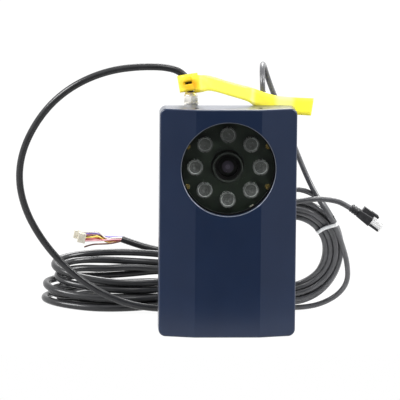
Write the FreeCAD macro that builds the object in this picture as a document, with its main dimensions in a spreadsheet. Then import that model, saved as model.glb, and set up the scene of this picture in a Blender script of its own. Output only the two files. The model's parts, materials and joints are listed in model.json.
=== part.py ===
import FreeCAD, Part
import math
import os
import re
import Sketcher

# License plate recognition camera: front faces -Y, +Z is up, the foot of the housing stands on z = 0
os.makedirs("parts", exist_ok=True)
doc = FreeCAD.newDocument("plate_camera")

# Driving dimensions in millimetres and degrees, by sub-assembly
HOUSING_SIZES = [
    ("cover_width", 138), ("cover_height", 233), ("total_depth", 72), ("cover_depth", 17),
    ("rim_depth", 11), ("facet_setback", 9), ("centre_width", 66), ("corner_radius", 7),
    ("edge_round", 1.8), ("wall", 4), ("side_flange", 11),
    ("body_width", "=cover_width - 2 * side_flange"), ("platform_drop", 15),
    ("body_round", 5), ("back_round", 3), ("fit_gap", 0.1), ("running_gap", 0.06),
    ("shade_hole_spacing", 64), ("shade_hole_radius", 2.4), ("shade_hole_depth", 6),
    ("shade_hole_setback", 11), ("shade_boss_wall", 2.2), ("gasket_width", 1.6), ("gasket_depth", 1.5),
    ("bracket_spacing", 75), ("bracket_hole_radius", 2.1), ("bracket_hole_depth", 9),
    ("bracket_boss_radius", 6), ("bracket_height", 116), ("post_radius", 4), ("chip_side", 24),
    ("pedestal_side", 34),
]
FASTENER_SIZES = [
    ("cover_screw_inset", 5.5), ("cover_screw_low", 14), ("cover_screw_high", 22),
    ("cover_screw_radius", 2), ("cover_head_radius", 3.5), ("cover_head_height", 2.6),
    ("cover_thread", 8), ("screw_boss_radius", 4.5), ("board_screw_radius", 1.4),
    ("board_head_radius", 2.8), ("board_head_height", 1.8), ("board_thread", 4),
    ("stud_length", 5.5), ("small_screw_radius", 1.2), ("small_head_radius", 2.2),
    ("small_head_height", 1.5), ("small_thread", 4), ("mount_thread", 2.5), ("tap_spare", 0.5),
]
WINDOW_SIZES = [
    ("window_radius", 47.5), ("window_drop", 61), ("window_lip", 1.55), ("rim_bevel", 1),
    ("glass_lap", 3.5), ("glass_thick", 4), ("glass_room", 0.3), ("seal_thick", 1), ("seat_band", 6),
    ("retainer_thick", 2.5), ("retainer_reach", 1.4),
]
LIGHT_SIZES = [
    ("optic_setback", 14.5), ("board_setback", 22.3), ("board_thick", 1.6), ("board_side", 104),
    ("optic_circle", 33), ("optic_radius", 8.1), ("optic_rim", 1.3), ("optic_face_thick", 1.6),
    ("optic_foot", 2), ("optic_dimple", 2.4), ("notch_width", 1.3), ("notch_depth", 0.8),
    ("emitter_side", 3.5), ("emitter_height", 1.6), ("sensor_part_width", 5),
    ("sensor_part_depth", 2.4), ("sensor_part_height", 3.4), ("sensor_part_x", 23.5),
    ("sensor_part_drop", 38.5),
]
LENS_SIZES = [
    ("lens_radius", 15.8), ("lens_hole_radius", 16.8), ("standoff_x", 40.5), ("standoff_z", 20.5),
    ("standoff_radius", 3), ("plate_setback", 44), ("plate_thick", 1.5), ("plate_margin", 6),
    ("mount_bore", 12.5), ("mount_neck", 14), ("mount_flange", 21), ("mount_flange_thick", 3),
    ("mount_neck_length", 5), ("mount_rear", 2.5), ("mount_collar", 15.5), ("mount_circle", 18.3),
    ("lens_bore", 9), ("lens_seat", 10.6), ("lens_hood_depth", 5), ("lens_seat_depth", 3.5),
    ("lens_crown", 3.3), ("lens_edge_thick", 1.5), ("hood_wall", 1.9), ("ring_depth", 2.2),
    ("ring_length", 6.2), ("ring_end_gap", 0.4), ("lock_pin_radius", 1), ("lock_knob_radius", 2.2),
    ("lock_knob_height", 4), ("sensor_board_side", 34), ("chip_width", 11), ("chip_height", 9),
    ("chip_thick", 1.8),
]
BOARD_SIZES = [
    ("main_board_setback", 52), ("board_side_room", 4),
    ("main_board_width", "=body_width - 2 * wall - 2 * board_side_room"), ("main_board_height", 96),
    ("main_board_low", 12), ("board_hole_inset", 6), ("power_board_setback", 34),
    ("processor_thick", 2), ("pad_thick", 1), ("transformer_width", 20), ("transformer_depth", 12),
    ("transformer_height", 17), ("transformer_x", -22), ("capacitor_radius", 5),
    ("capacitor_length", 12), ("capacitor_pitch", 12), ("capacitor_x", 4), ("power_row_rise", 14),
    ("header_width", 16), ("header_depth", 8), ("header_height", 6), ("header_x", 20),
    ("header_rise", 36),
]
GLAND_SIZES = [
    ("gland_x", 36.5), ("gland_y", 9), ("gland_flats", 14), ("gland_thread_radius", 5.6),
    ("gland_hex_height", 14), ("gland_collar_height", 2), ("gland_collar_proud", 1.1),
    ("gland_neck_height", 5), ("gland_inner_thread", 5), ("dome_height", 10), ("dome_round", 3),
    ("hex_chamfer", 0.9), ("seal_wall", 1.2), ("seal_length", 9), ("locknut_flats", 17),
    ("locknut_height", 4), ("entry_rise", 8), ("entry_tail", 12), ("main_cable_radius", 3.65),
    ("network_cable_radius", 2.75),
]
CABLE_SIZES = [
    ("main_coil_x", -89), ("main_coil_y", 150), ("main_coil_long", 94), ("main_coil_short", 60),
    ("main_coil_band", 24), ("main_coil_height", 44), ("network_coil_x", 70),
    ("network_coil_y", 84), ("network_coil_long", 66), ("network_coil_short", 54),
    ("network_coil_band", 21), ("network_coil_thick", 20), ("network_coil_lean", 24),
    ("coil_round", 7), ("wire_radius", 0.65), ("tie_width", 3.2), ("tie_thick", 0.9), ("tie_angle", 59),
    ("plug_dip", 36), ("plug_length", 12.5), ("plug_width", 11.7), ("plug_thick", 8), ("boot_length", 24.5),
    ("boot_collar_length", 9), ("boot_collar_wall", 1.6), ("boot_width", 12.8), ("boot_thick", 10),
    ("boot_round", 1.2), ("hood_width", 7), ("hood_thick", 2.4), ("hood_over", 4.5), ("hood_rib", 0.7),
    ("latch_width", 6), ("latch_thick", 1.1), ("latch_gap", 1), ("contact_pitch", 1.02),
    ("tag_height", 17), ("tag_thick", 0.8), ("tag_loop_radius", 10.5), ("tag_lean", 11.6),
    ("tag_slot_width", 6.5), ("tag_slot_height", 3.2),
]
SIZES = (HOUSING_SIZES + FASTENER_SIZES + WINDOW_SIZES + LIGHT_SIZES + LENS_SIZES + BOARD_SIZES
         + GLAND_SIZES + CABLE_SIZES)
sheet = doc.addObject("Spreadsheet::Sheet", "sizes")
sheet.Label = "driving dimensions"
for row, (alias, number) in enumerate(SIZES, 1):
    sheet.set("A%d" % row, alias)
    sheet.set("B%d" % row, str(number))
    sheet.setAlias("B%d" % row, alias)
doc.recompute()
ALIASES = {alias for alias, number in SIZES}
NODES = []

# Planes of the assembly, as formulas of the driving dimensions
FRONT = "(-total_depth / 2)"
BACK = "(total_depth / 2)"
RIM = "(-total_depth / 2 + cover_depth)"
STEP = "(-total_depth / 2 + cover_depth + rim_depth)"
PLATFORM = "(cover_height - platform_drop)"
WINDOW = "(cover_height - window_drop)"
FACET_SLOPE = "(facet_setback / (cover_width / 2 - centre_width / 2))"
SEAT = "(-total_depth / 2 + (window_radius - centre_width / 2) * %s + window_lip)" % FACET_SLOPE
GLASS = "(%s + seal_thick)" % SEAT
GLASS_REAR = "(%s + seal_thick + glass_thick)" % SEAT
BOARD = "(-total_depth / 2 + board_setback)"
PLATE = "(-total_depth / 2 + plate_setback)"
MAIN = "(-total_depth / 2 + main_board_setback)"
POWER = "(-total_depth / 2 + power_board_setback)"
FLOOR_REAR = "(total_depth / 2 - wall)"
COLLAR_TOP = "(cover_height - platform_drop + gland_hex_height + gland_collar_height)"
GLAND_TOP = "(%s + dome_height)" % COLLAR_TOP

X_AXIS = FreeCAD.Vector(1, 0, 0)
Y_AXIS = FreeCAD.Vector(0, 1, 0)
Z_AXIS = FreeCAD.Vector(0, 0, 1)
TO_FRONT = FreeCAD.Rotation(X_AXIS, 90)
TO_BACK = FreeCAD.Rotation(X_AXIS, -90)
UP = FreeCAD.Rotation()
CORNER_FRONT = FreeCAD.Rotation(Z_AXIS, 30)


# Formula helpers
def formula(text):
    return re.sub(r"[a-z_]{3,}", lambda word: name_in_sheet(word.group(0)), str(text))


def name_in_sheet(word):
    return "sizes." + word if word in ALIASES else word


def value(text):
    return float(sheet.evalExpression(str(text)))


def bind(item, **formulas):
    for prop, text in formulas.items():
        item.setExpression(prop, formula(text))
    return item


def place(item, x=0, y=0, z=0, turn=UP):
    item.Placement = FreeCAD.Placement(FreeCAD.Vector(), turn)
    for axis, text in zip("xyz", (x, y, z)):
        item.setExpression("Placement.Base." + axis, formula(text))
    return item


def node(item, label):
    item.Label = label
    NODES.append(item)
    return item


# Primitive helpers: boxes are given by their centre
def box(name, size, centre):
    item = bind(doc.addObject("Part::Box", name), Length=size[0], Width=size[1], Height=size[2])
    corner = ["%s - (%s) / 2" % (middle, side) for middle, side in zip(centre, size)]
    return place(item, *corner)


def cylinder(name, radius, length, x, y, z, turn=UP):
    item = bind(doc.addObject("Part::Cylinder", name), Radius=radius, Height=length)
    return place(item, x, y, z, turn)


def cone(name, radius, end_radius, length, x, y, z, turn=UP):
    item = doc.addObject("Part::Cone", name)
    bind(item, Radius1=radius, Radius2=end_radius, Height=length)
    return place(item, x, y, z, turn)


def joined(name, *items):
    item = doc.addObject("Part::MultiFuse", name)
    item.Shapes = list(items)
    item.Refine = True
    return item


def cut(name, base, *tools):
    item = doc.addObject("Part::Cut", name)
    item.Base = base
    item.Tool = tools[0] if len(tools) == 1 else joined(name + "_tools", *tools)
    item.Refine = True
    return item


def copies(label, master, spots, turn=UP):
    links = []
    for number, spot in enumerate(spots, 1):
        link = doc.addObject("App::Link", "%s_%d" % (label, number))
        link.LinkedObject = master
        links.append(place(link, *spot, turn=turn))
    group = doc.addObject("Part::Compound", label)
    group.Links = links
    return node(group, label)


# Rows of equal holes, bosses or posts, all pointing along the same way
def row_of(name, radius, length, start, spots, turn):
    return [cylinder("%s_%d" % (name, number), radius, length, x, start, z, turn)
            for number, (x, z) in enumerate(spots, 1)]


# Body helpers: sketched outlines, pads, pockets and turned parts
def outline(body, plane, points, name, lift=0):
    sketch = body.newObject("Sketcher::SketchObject", name)
    planes = {item.Role: item for item in body.Origin.OriginFeatures}
    sketch.AttachmentSupport = [(planes[plane], "")]
    sketch.MapMode = "FlatFace"
    sketch.setExpression("AttachmentOffset.Base.z", formula(lift))
    corners = [FreeCAD.Vector(value(x), value(y), 0) for x, y in points]
    count = len(corners)
    for i in range(count):
        sketch.addGeometry(Part.LineSegment(corners[i], corners[(i + 1) % count]), False)
    for i in range(count):
        sketch.addConstraint(Sketcher.Constraint("Coincident", i, 2, (i + 1) % count, 1))
    for i in range(count):
        for kind, axis in (("DistanceX", 0), ("DistanceY", 1)):
            rule = Sketcher.Constraint(kind, -1, 1, i, 1, corners[i][axis])
            number = sketch.addConstraint(rule)
            sketch.setExpression("Constraints[%d]" % number, formula(points[i][axis]))
    return sketch


def rectangle(width, low, high):
    return [("-(%s) / 2" % width, low), ("(%s) / 2" % width, low),
            ("(%s) / 2" % width, high), ("-(%s) / 2" % width, high)]


def pad(body, sketch, length, name, backward=False):
    item = body.newObject("PartDesign::Pad", name)
    item.Profile = sketch
    item.Reversed = backward
    return bind(item, Length=length)


def pocket(body, sketch, length, name, backward=False):
    item = body.newObject("PartDesign::Pocket", name)
    item.Profile = sketch
    item.Reversed = backward
    return bind(item, Length=length)


def rounded(body, feature, edges, radius, name):
    item = body.newObject("PartDesign::Fillet", name)
    item.Base = (feature, edges)
    return bind(item, Radius=radius)


def edges_where(shape, test):
    return ["Edge%d" % number for number, edge in enumerate(shape.Edges, 1) if test(edge)]


def along(edge, axis):
    ends = [vertex.Point for vertex in edge.Vertexes]
    if len(ends) < 2 or edge.Curve.TypeId != "Part::GeomLine":
        return False
    return abs((ends[1] - ends[0]).normalize().dot(axis)) > 0.999


def rounded_slab(name, width, low, high, depth, radius):
    body = doc.addObject("PartDesign::Body", name)
    plan = outline(body, "XZ_Plane", rectangle(width, low, high), name + "_plan")
    plate = pad(body, plan, depth, name + "_plate", True)
    doc.recompute()
    rounded(body, plate, edges_where(plate.Shape, lambda edge: along(edge, Y_AXIS)), radius,
            name + "_corners")
    return body


def revolved(name, points):
    body = doc.addObject("PartDesign::Body", name)
    sketch = outline(body, "XZ_Plane", points, name + "_profile")
    item = body.newObject("PartDesign::Revolution", name + "_turning")
    item.Profile = sketch
    item.ReferenceAxis = (sketch, ["V_Axis"])
    item.Angle = 360
    return body


def turned(name, points, x, y, z, turn=UP):
    return place(revolved(name, points), x, y, z, turn)


def hexagon(name, flats, length, x, y, z):
    item = doc.addObject("Part::Prism", name + "_bar")
    item.Polygon = 6
    bind(item, Circumradius="(%s) / 2 / cos(30 deg)" % flats, Height=length)
    place(item, x, y, z, CORNER_FRONT)
    inner = "(%s) / 2" % flats
    outer = "(%s) / 2 / cos(30 deg) + hex_chamfer / 2" % flats
    profile = [(0, 0), (inner, 0), (outer, "hex_chamfer")]
    profile += [(outer, "%s - hex_chamfer" % length), (inner, length), (0, length)]
    blank = turned(name + "_blank", profile, x, y, z)
    chamfered = doc.addObject("Part::Common", name)
    chamfered.Base = item
    chamfered.Tool = blank
    return chamfered


def screw(name, head_radius, head_height, shank_radius, shank_length):
    head = cylinder(name + "_head", head_radius, head_height, 0, 0, 0)
    shank = cylinder(name + "_shank", shank_radius, shank_length, 0, 0, "-(%s)" % shank_length)
    return joined(name, head, shank)


# Places of the fasteners and the lights
SCREW_X = "(cover_width / 2 - cover_screw_inset)"
SCREW_HEIGHTS = ["cover_screw_low", "(cover_height / 2)", "(cover_height - cover_screw_high)"]
COVER_SCREWS = [(side + SCREW_X, height) for side in ("", "-") for height in SCREW_HEIGHTS]
STANDOFFS = [(side + "standoff_x", "%s %s standoff_z" % (WINDOW, sign))
             for side in ("", "-") for sign in "+-"]
MAIN_POSTS = [(side + "(main_board_width / 2 - board_hole_inset)", height) for side in ("", "-")
              for height in ("(main_board_low + board_hole_inset)",
                             "(main_board_low + main_board_height - board_hole_inset)")]
BRACKET_HOLES = [(side + "(bracket_spacing / 2)", "bracket_height %s bracket_spacing / 2" % sign)
                 for side in ("", "-") for sign in "+-"]


def on_circle(radius, angles):
    return [("(%s) * cos(%d deg)" % (radius, angle), "%s + (%s) * sin(%d deg)" % (WINDOW, radius, angle))
            for angle in angles]


SEAT_RADIUS = "(window_radius + glass_lap)"
RETAINER_SPOTS = on_circle(SEAT_RADIUS + " + seat_band / 2", range(30, 390, 60))
OPTIC_SPOTS = on_circle("optic_circle", range(0, 360, 45))
MOUNT_SPOTS = on_circle("mount_circle", range(0, 360, 90))
SHADE_Y = "(%s + shade_hole_setback)" % FRONT
SHADE_SPOTS = [side + "shade_hole_spacing / 2" for side in ("", "-")]

# Front cover: faceted outer block with rounded corners and edges
OVERCUT = "5"
block = doc.addObject("PartDesign::Body", "cover_block")
cover_face = outline(block, "XZ_Plane", rectangle("cover_width", "0", "cover_height"), "cover_face")
cover_slab = pad(block, cover_face, "cover_depth", "cover_slab")
doc.recompute()
cover_corners = edges_where(cover_slab.Shape, lambda edge: along(edge, Y_AXIS))
rounded(block, cover_slab, cover_corners, "corner_radius", "cover_corners")
for number, side in enumerate(("", "-"), 1):
    facet = [(side + "centre_width / 2", "-cover_depth"),
             (side + "cover_width / 2", "facet_setback - cover_depth"),
             (side + "(cover_width / 2 + %s)" % OVERCUT, "facet_setback - cover_depth"),
             (side + "(cover_width / 2 + %s)" % OVERCUT, "-cover_depth - " + OVERCUT),
             (side + "centre_width / 2", "-cover_depth - " + OVERCUT)]
    facet_plan = outline(block, "XY_Plane", facet, "facet_plan_%d" % number, "-" + OVERCUT)
    faceted = pocket(block, facet_plan, "cover_height + 2 * " + OVERCUT, "facet_%d" % number, True)
doc.recompute()


def faces_front(face):
    return face.Surface.TypeId == "Part::GeomPlane" and face.normalAt(0, 0).y < -0.5


def front_rim(edge):
    owners = [face for face in faceted.Shape.Faces if any(edge.isSame(other) for other in face.Edges)]
    return len([face for face in owners if faces_front(face)]) == 1


rounded(block, faceted, edges_where(faceted.Shape, front_rim), "edge_round", "cover_edges")
place(block, 0, RIM, 0)

# Front cover: hollow inside, with its screw bosses and the seat of the window left standing
SIDE_INNER = "facet_setback - cover_depth + 0.75 * wall"
hollow = doc.addObject("PartDesign::Body", "cover_hollow")
inner_plan = [("-(cover_width / 2 - wall)", "1"), ("-(cover_width / 2 - wall)", SIDE_INNER),
              ("-centre_width / 2", "wall - cover_depth"), ("centre_width / 2", "wall - cover_depth"),
              ("(cover_width / 2 - wall)", SIDE_INNER), ("(cover_width / 2 - wall)", "1")]
hollow_plan = outline(hollow, "XY_Plane", inner_plan, "cover_hollow_plan", "wall")
pad(hollow, hollow_plan, "cover_height - 2 * wall", "cover_hollow_room")
place(hollow, 0, RIM, 0)
standing = row_of("window_seat", SEAT_RADIUS + " + seat_band", "total_depth", GLASS_REAR, [("0", WINDOW)],
                  TO_FRONT)
standing += row_of("cover_boss", "screw_boss_radius", "total_depth", RIM, COVER_SCREWS, TO_FRONT)
for number, x in enumerate(SHADE_SPOTS, 1):
    standing.append(cylinder("shade_boss_%d" % number, "shade_hole_radius + shade_boss_wall",
                             "shade_hole_depth + shade_boss_wall", x, SHADE_Y,
                             "cover_height - shade_hole_depth - shade_boss_wall"))
cover_room = cut("cover_room", hollow, *standing)
openings = row_of("window_opening", "window_radius", "total_depth", BACK, [("0", WINDOW)], TO_FRONT)
openings += row_of("glass_pocket", SEAT_RADIUS + " + glass_room", "total_depth", SEAT + " + total_depth",
                   [("0", WINDOW)], TO_FRONT)
openings += row_of("cover_tap", "cover_screw_radius + fit_gap / 2", "cover_thread + tap_spare", RIM,
                   COVER_SCREWS, TO_FRONT)
openings += row_of("retainer_tap", "small_screw_radius + fit_gap / 2", "small_thread + tap_spare",
                   GLASS_REAR, RETAINER_SPOTS, TO_FRONT)
for number, x in enumerate(SHADE_SPOTS, 1):
    openings.append(cylinder("shade_hole_%d" % number, "shade_hole_radius", "shade_hole_depth + tap_spare",
                             x, SHADE_Y, "cover_height - shade_hole_depth"))
shell = cut("cover_shell", block, cover_room, *openings)
doc.recompute()


def opening_edge(edge):
    if edge.Curve.TypeId == "Part::GeomLine":
        return False
    middle = edge.valueAt((edge.FirstParameter + edge.LastParameter) / 2)
    reach = math.hypot(middle.x, middle.z - value(WINDOW))
    return abs(reach - value("window_radius")) < 0.01 and middle.y < value(SEAT) - 0.05


cover = doc.addObject("Part::Fillet", "front_cover")
cover.Base = shell
bevel = value("rim_bevel")
cover.Edges = [(number, bevel, bevel) for number, edge in enumerate(shell.Shape.Edges, 1)
               if opening_edge(edge)]
node(cover, "front_cover")

# Rear housing: full outline at the rim, stepped body behind it, glands stand on the step at the top
rim_body = rounded_slab("rear_rim", "cover_width", "0", "cover_height", "rim_depth", "corner_radius")
place(rim_body, 0, RIM, 0)
tub = doc.addObject("PartDesign::Body", "rear_tub")
tub_face = outline(tub, "XZ_Plane", rectangle("body_width", "0", PLATFORM), "rear_tub_face")
tub_slab = pad(tub, tub_face, "total_depth - cover_depth - rim_depth + wall / 4", "rear_tub_slab", True)
doc.recompute()
tub_sides = rounded(tub, tub_slab, edges_where(tub_slab.Shape, lambda edge: along(edge, Y_AXIS)),
                    "body_round", "rear_tub_corners")
doc.recompute()
back_edges = edges_where(tub_sides.Shape, lambda edge: min(end.Point.y for end in edge.Vertexes) > 1)
rounded(tub, tub_sides, back_edges, "back_round", "rear_tub_back")
place(tub, 0, STEP + " - wall / 4", 0)
rear_solid = joined("rear_solid", rim_body, tub)
rim_room = box("rim_room", ("cover_width - 2 * wall", "rim_depth - wall + 1", "cover_height - 2 * wall"),
               ("0", RIM + " + (rim_depth - wall - 1) / 2", "cover_height / 2"))
tub_room = box("tub_room", ("body_width - 2 * wall", "%s - %s + wall" % (FLOOR_REAR, STEP),
                            PLATFORM + " - 2 * wall"),
               ("0", "(%s + %s - wall) / 2" % (FLOOR_REAR, STEP), PLATFORM + " / 2"))
rear_rooms = joined("rear_rooms", rim_room, tub_room)
CHIP_Z = "(main_board_low + main_board_height / 2)"
CAMERA_SEAT = "(%s + plate_thick)" % PLATE
MAIN_SEAT = "(%s + board_thick)" % MAIN
PEDESTAL = "(%s + processor_thick + pad_thick)" % MAIN_SEAT
kept = row_of("rear_boss", "screw_boss_radius", "rim_depth", RIM, COVER_SCREWS, TO_BACK)
kept += row_of("camera_post", "post_radius", "%s - %s" % (BACK, CAMERA_SEAT), CAMERA_SEAT, STANDOFFS,
               TO_BACK)
kept += row_of("board_post", "post_radius", "%s - %s" % (BACK, MAIN_SEAT), MAIN_SEAT, MAIN_POSTS, TO_BACK)
kept += row_of("bracket_boss", "bracket_boss_radius", "bracket_hole_depth + wall / 2", BACK, BRACKET_HOLES,
               TO_FRONT)
kept.append(box("heat_pedestal", ("pedestal_side", "%s - %s" % (BACK, PEDESTAL), "pedestal_side"),
                ("0", "(%s + %s) / 2" % (PEDESTAL, BACK), CHIP_Z)))
rear_room = cut("rear_room", rear_rooms, *kept)
BOARD_TAP = "board_screw_radius + fit_gap / 2"
bores = row_of("rear_clear", "cover_screw_radius + 2 * fit_gap", "rim_depth + 2 * tap_spare",
               RIM + " - tap_spare", COVER_SCREWS, TO_BACK)
bores += row_of("camera_tap", BOARD_TAP, "stud_length + tap_spare", CAMERA_SEAT, STANDOFFS, TO_BACK)
bores += row_of("board_tap", BOARD_TAP, "stud_length + tap_spare", MAIN_SEAT, MAIN_POSTS, TO_BACK)
bores += row_of("bracket_hole", "bracket_hole_radius", "bracket_hole_depth + tap_spare",
                BACK + " + tap_spare", BRACKET_HOLES, TO_FRONT)
for number, x in enumerate(("-gland_x", "gland_x"), 1):
    bores.append(cylinder("gland_hole_%d" % number, "gland_thread_radius + fit_gap", "wall + 2 * tap_spare",
                          x, "gland_y", PLATFORM + " - wall - tap_spare"))


# Seal groove in the rim and the gasket that fills it
def ring_band(name):
    slabs = []
    for part, inset in (("_outer", "(wall - gasket_width) / 2"), ("_inner", "(wall + gasket_width) / 2")):
        plate = rounded_slab(name + part, "cover_width - 2 * (%s)" % inset, inset,
                             "cover_height - (%s)" % inset, "gasket_depth", "corner_radius - (%s)" % inset)
        slabs.append(place(plate, 0, RIM, 0))
    return cut(name, *slabs)


bores.append(ring_band("seal_groove"))
node(cut("rear_housing", rear_solid, rear_room, *bores), "rear_housing")
node(ring_band("cover_gasket"), "cover_gasket")
cover_screw = screw("cover_screw", "cover_head_radius", "cover_head_height", "cover_screw_radius",
                    "rim_depth + cover_thread")
copies("cover_screws", cover_screw, [(x, STEP, z) for x, z in COVER_SCREWS], TO_BACK)

# Window: seal, glass, retainer ring and its screws
SEAL_INNER = "window_radius + glass_room"
seal = turned("window_seal", [(SEAL_INNER, 0), (SEAT_RADIUS, 0), (SEAT_RADIUS, "seal_thick"),
                              (SEAL_INNER, "seal_thick")], 0, SEAT, WINDOW, TO_BACK)
node(seal, "window_seal")
node(cylinder("window_glass", SEAT_RADIUS, "glass_thick", 0, GLASS, WINDOW, TO_BACK), "window_glass")
RETAINER_INNER = "window_radius - retainer_reach"
RETAINER_OUTER = SEAT_RADIUS + " + seat_band - glass_room"
retainer_profile = [(RETAINER_INNER, 0), (RETAINER_OUTER, 0)]
retainer_profile += [(RETAINER_OUTER, "retainer_thick"), (RETAINER_INNER, "retainer_thick")]
retainer_ring = turned("retainer_ring", retainer_profile, 0, GLASS_REAR, WINDOW, TO_BACK)
retainer_holes = row_of("retainer_hole", "small_screw_radius + fit_gap", "retainer_thick + 2 * tap_spare",
                        GLASS_REAR + " - tap_spare", RETAINER_SPOTS, TO_BACK)
node(cut("window_retainer", retainer_ring, *retainer_holes), "window_retainer")
retainer_screw = screw("retainer_screw", "small_head_radius", "small_head_height", "small_screw_radius",
                       "retainer_thick + small_thread")
copies("retainer_screws", retainer_screw, [(x, GLASS_REAR + " + retainer_thick", z) for x,
                                           z in RETAINER_SPOTS],
       TO_BACK)

# Infrared light board with its emitters, optic holders and optics
board_blank = box("light_board_blank", ("board_side", "board_thick", "board_side"),
                  ("0", BOARD + " + board_thick / 2", WINDOW))
THROUGH_BOARD = "board_thick + 2 * tap_spare"
board_holes = row_of("lens_hole", "lens_hole_radius", THROUGH_BOARD, BOARD + " - tap_spare",
                     [("0", WINDOW)], TO_BACK)
board_holes += row_of("light_board_hole", "board_screw_radius + fit_gap", THROUGH_BOARD,
                      BOARD + " - tap_spare", STANDOFFS, TO_BACK)
node(cut("light_board", board_blank, *board_holes), "light_board")
emitter = box("light_emitter", ("emitter_side", "emitter_side", "emitter_height"),
              ("0", "0", "emitter_height / 2"))
copies("light_emitters", emitter, [(x, BOARD, z) for x, z in OPTIC_SPOTS], TO_FRONT)
OPTIC_HEIGHT = "(board_setback - optic_setback)"
INNER = "(optic_radius - optic_rim)"
FACE_REAR = "(%s - optic_face_thick)" % OPTIC_HEIGHT
cup_profile = [("optic_radius - 1.5 * optic_rim", 0), ("optic_radius - optic_rim / 2", 0)]
cup_profile += [("optic_radius", "optic_foot"), ("optic_radius", OPTIC_HEIGHT), (INNER, OPTIC_HEIGHT)]
cup_profile += [(INNER, FACE_REAR), ("optic_radius - 2 * optic_rim", FACE_REAR + " - optic_face_thick")]
holder_cup = turned("holder_cup", cup_profile, 0, 0, 0)
notch = box("holder_notch", ("notch_width", "3 * optic_radius", "2 * notch_depth"), ("0", "0", OPTIC_HEIGHT))
holder = cut("optic_holder", holder_cup, notch)
copies("optic_holders", holder, [(x, BOARD, z) for x, z in OPTIC_SPOTS], TO_FRONT)
OPTIC_TOP = "(%s - glass_room)" % OPTIC_HEIGHT
optic = turned("light_optic", [(0, "emitter_height + 1"), ("optic_dimple", "emitter_height + glass_room"),
                               (INNER + " - optic_foot", FACE_REAR + " - optic_face_thick"),
                               (INNER + " - fit_gap", FACE_REAR), (INNER + " - fit_gap", OPTIC_TOP),
                               ("optic_dimple", OPTIC_TOP), (0, OPTIC_TOP + " - notch_depth")], 0, 0, 0)
copies("light_optics", optic, [(x, BOARD, z) for x, z in OPTIC_SPOTS], TO_FRONT)
board_screw = screw("board_screw", "board_head_radius", "board_head_height", "board_screw_radius",
                    "board_thick + board_thread")
copies("light_board_screws", board_screw, [(x, BOARD, z) for x, z in STANDOFFS], TO_FRONT)
daylight_sensor = box("light_sensor", ("sensor_part_width", "sensor_part_depth", "sensor_part_height"),
                      ("sensor_part_x", BOARD + " - sensor_part_depth / 2", WINDOW + " - sensor_part_drop"))
node(daylight_sensor, "light_sensor")


# Threaded pillars: a barrel with a stud at its foot and a tapped hole in its head
def pillar(label, length, seat_thick, plane, spots):
    barrel = cylinder(label + "_barrel", "standoff_radius", length, 0, 0, 0)
    stud_length = seat_thick + " + stud_length"
    stud = cylinder(label + "_stud", "board_screw_radius", stud_length, 0, 0, "-(%s)" % stud_length)
    tap = cylinder(label + "_tap", BOARD_TAP, "board_thread + 2 * tap_spare", 0, 0,
                   length + " - board_thread - tap_spare")
    bored = cut(label + "_bored", joined(label + "_solid", barrel, stud), tap)
    copies(label, bored, [(x, plane, z) for x, z in spots], TO_FRONT)


# Standoffs, camera plate, lens mount and lens
pillar("board_standoffs", "(plate_setback - board_setback - board_thick)", "plate_thick", PLATE, STANDOFFS)
PLATE_SIZE = ("2 * (standoff_x + plate_margin)", "plate_thick", "2 * (standoff_z + plate_margin)")
plate_blank = box("camera_plate_blank", PLATE_SIZE, ("0", PLATE + " + plate_thick / 2", WINDOW))
THROUGH_PLATE = "plate_thick + 2 * tap_spare"
PLATE_ENTRY = PLATE + " - tap_spare"
plate_holes = row_of("mount_bore_hole", "mount_neck + fit_gap", THROUGH_PLATE, PLATE_ENTRY, [("0", WINDOW)],
                     TO_BACK)
plate_holes += row_of("plate_hole", "board_screw_radius + fit_gap", THROUGH_PLATE, PLATE_ENTRY, STANDOFFS,
                      TO_BACK)
plate_holes += row_of("mount_clear", "small_screw_radius + fit_gap", THROUGH_PLATE, PLATE_ENTRY,
                      MOUNT_SPOTS, TO_BACK)
node(cut("camera_plate", plate_blank, *plate_holes), "camera_plate")
MOUNT_REAR = "-plate_thick - mount_rear"
mount_profile = [("mount_bore", MOUNT_REAR), ("mount_neck", MOUNT_REAR), ("mount_neck", 0)]
mount_profile += [("mount_flange", 0), ("mount_flange", "mount_flange_thick")]
mount_profile += [("mount_collar", "mount_flange_thick"), ("mount_collar", "mount_neck_length")]
mount_profile += [("mount_bore", "mount_neck_length")]
mount_ring = turned("mount_ring", mount_profile, 0, PLATE, WINDOW, TO_FRONT)
mount_taps = row_of("mount_tap", "small_screw_radius + fit_gap / 2", "mount_thread + fit_gap", PLATE,
                    MOUNT_SPOTS, TO_FRONT)
node(cut("lens_mount", mount_ring, *mount_taps), "lens_mount")
mount_screw = screw("mount_screw", "small_head_radius", "small_head_height", "small_screw_radius",
                    "plate_thick + mount_thread")
copies("mount_screws", mount_screw, [(x, PLATE + " + plate_thick", z) for x, z in MOUNT_SPOTS], TO_BACK)
LENS_LENGTH = "(plate_setback - optic_setback + tap_spare)"
NECK = "(lens_radius - ring_depth)"
RING_START = "(mount_neck_length + ring_end_gap)"
RING_END = "(mount_neck_length + ring_end_gap + ring_length)"
HOOD_FLOOR = "(%s - lens_hood_depth)" % LENS_LENGTH
SEAT_FLOOR = "(%s - lens_seat_depth)" % HOOD_FLOOR
STEM = "mount_bore - fit_gap"
barrel_profile = [(STEM, "1"), (STEM, "mount_neck_length"), (NECK, "mount_neck_length"),
                  (NECK, RING_END + " + ring_end_gap"), ("lens_radius", RING_END + " + ring_end_gap"),
                  ("lens_radius", LENS_LENGTH + " - tap_spare"), ("lens_radius - tap_spare", LENS_LENGTH),
                  ("lens_radius - hood_wall", LENS_LENGTH), ("lens_seat", HOOD_FLOOR),
                  ("lens_seat", SEAT_FLOOR), ("lens_bore", SEAT_FLOOR), ("lens_bore", "1")]
node(turned("lens_barrel", barrel_profile, 0, PLATE, WINDOW, TO_FRONT), "lens_barrel")
LENS_EDGE = "lens_seat - fit_gap"
LENS_REAR = "(%s + fit_gap)" % SEAT_FLOOR
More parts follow.
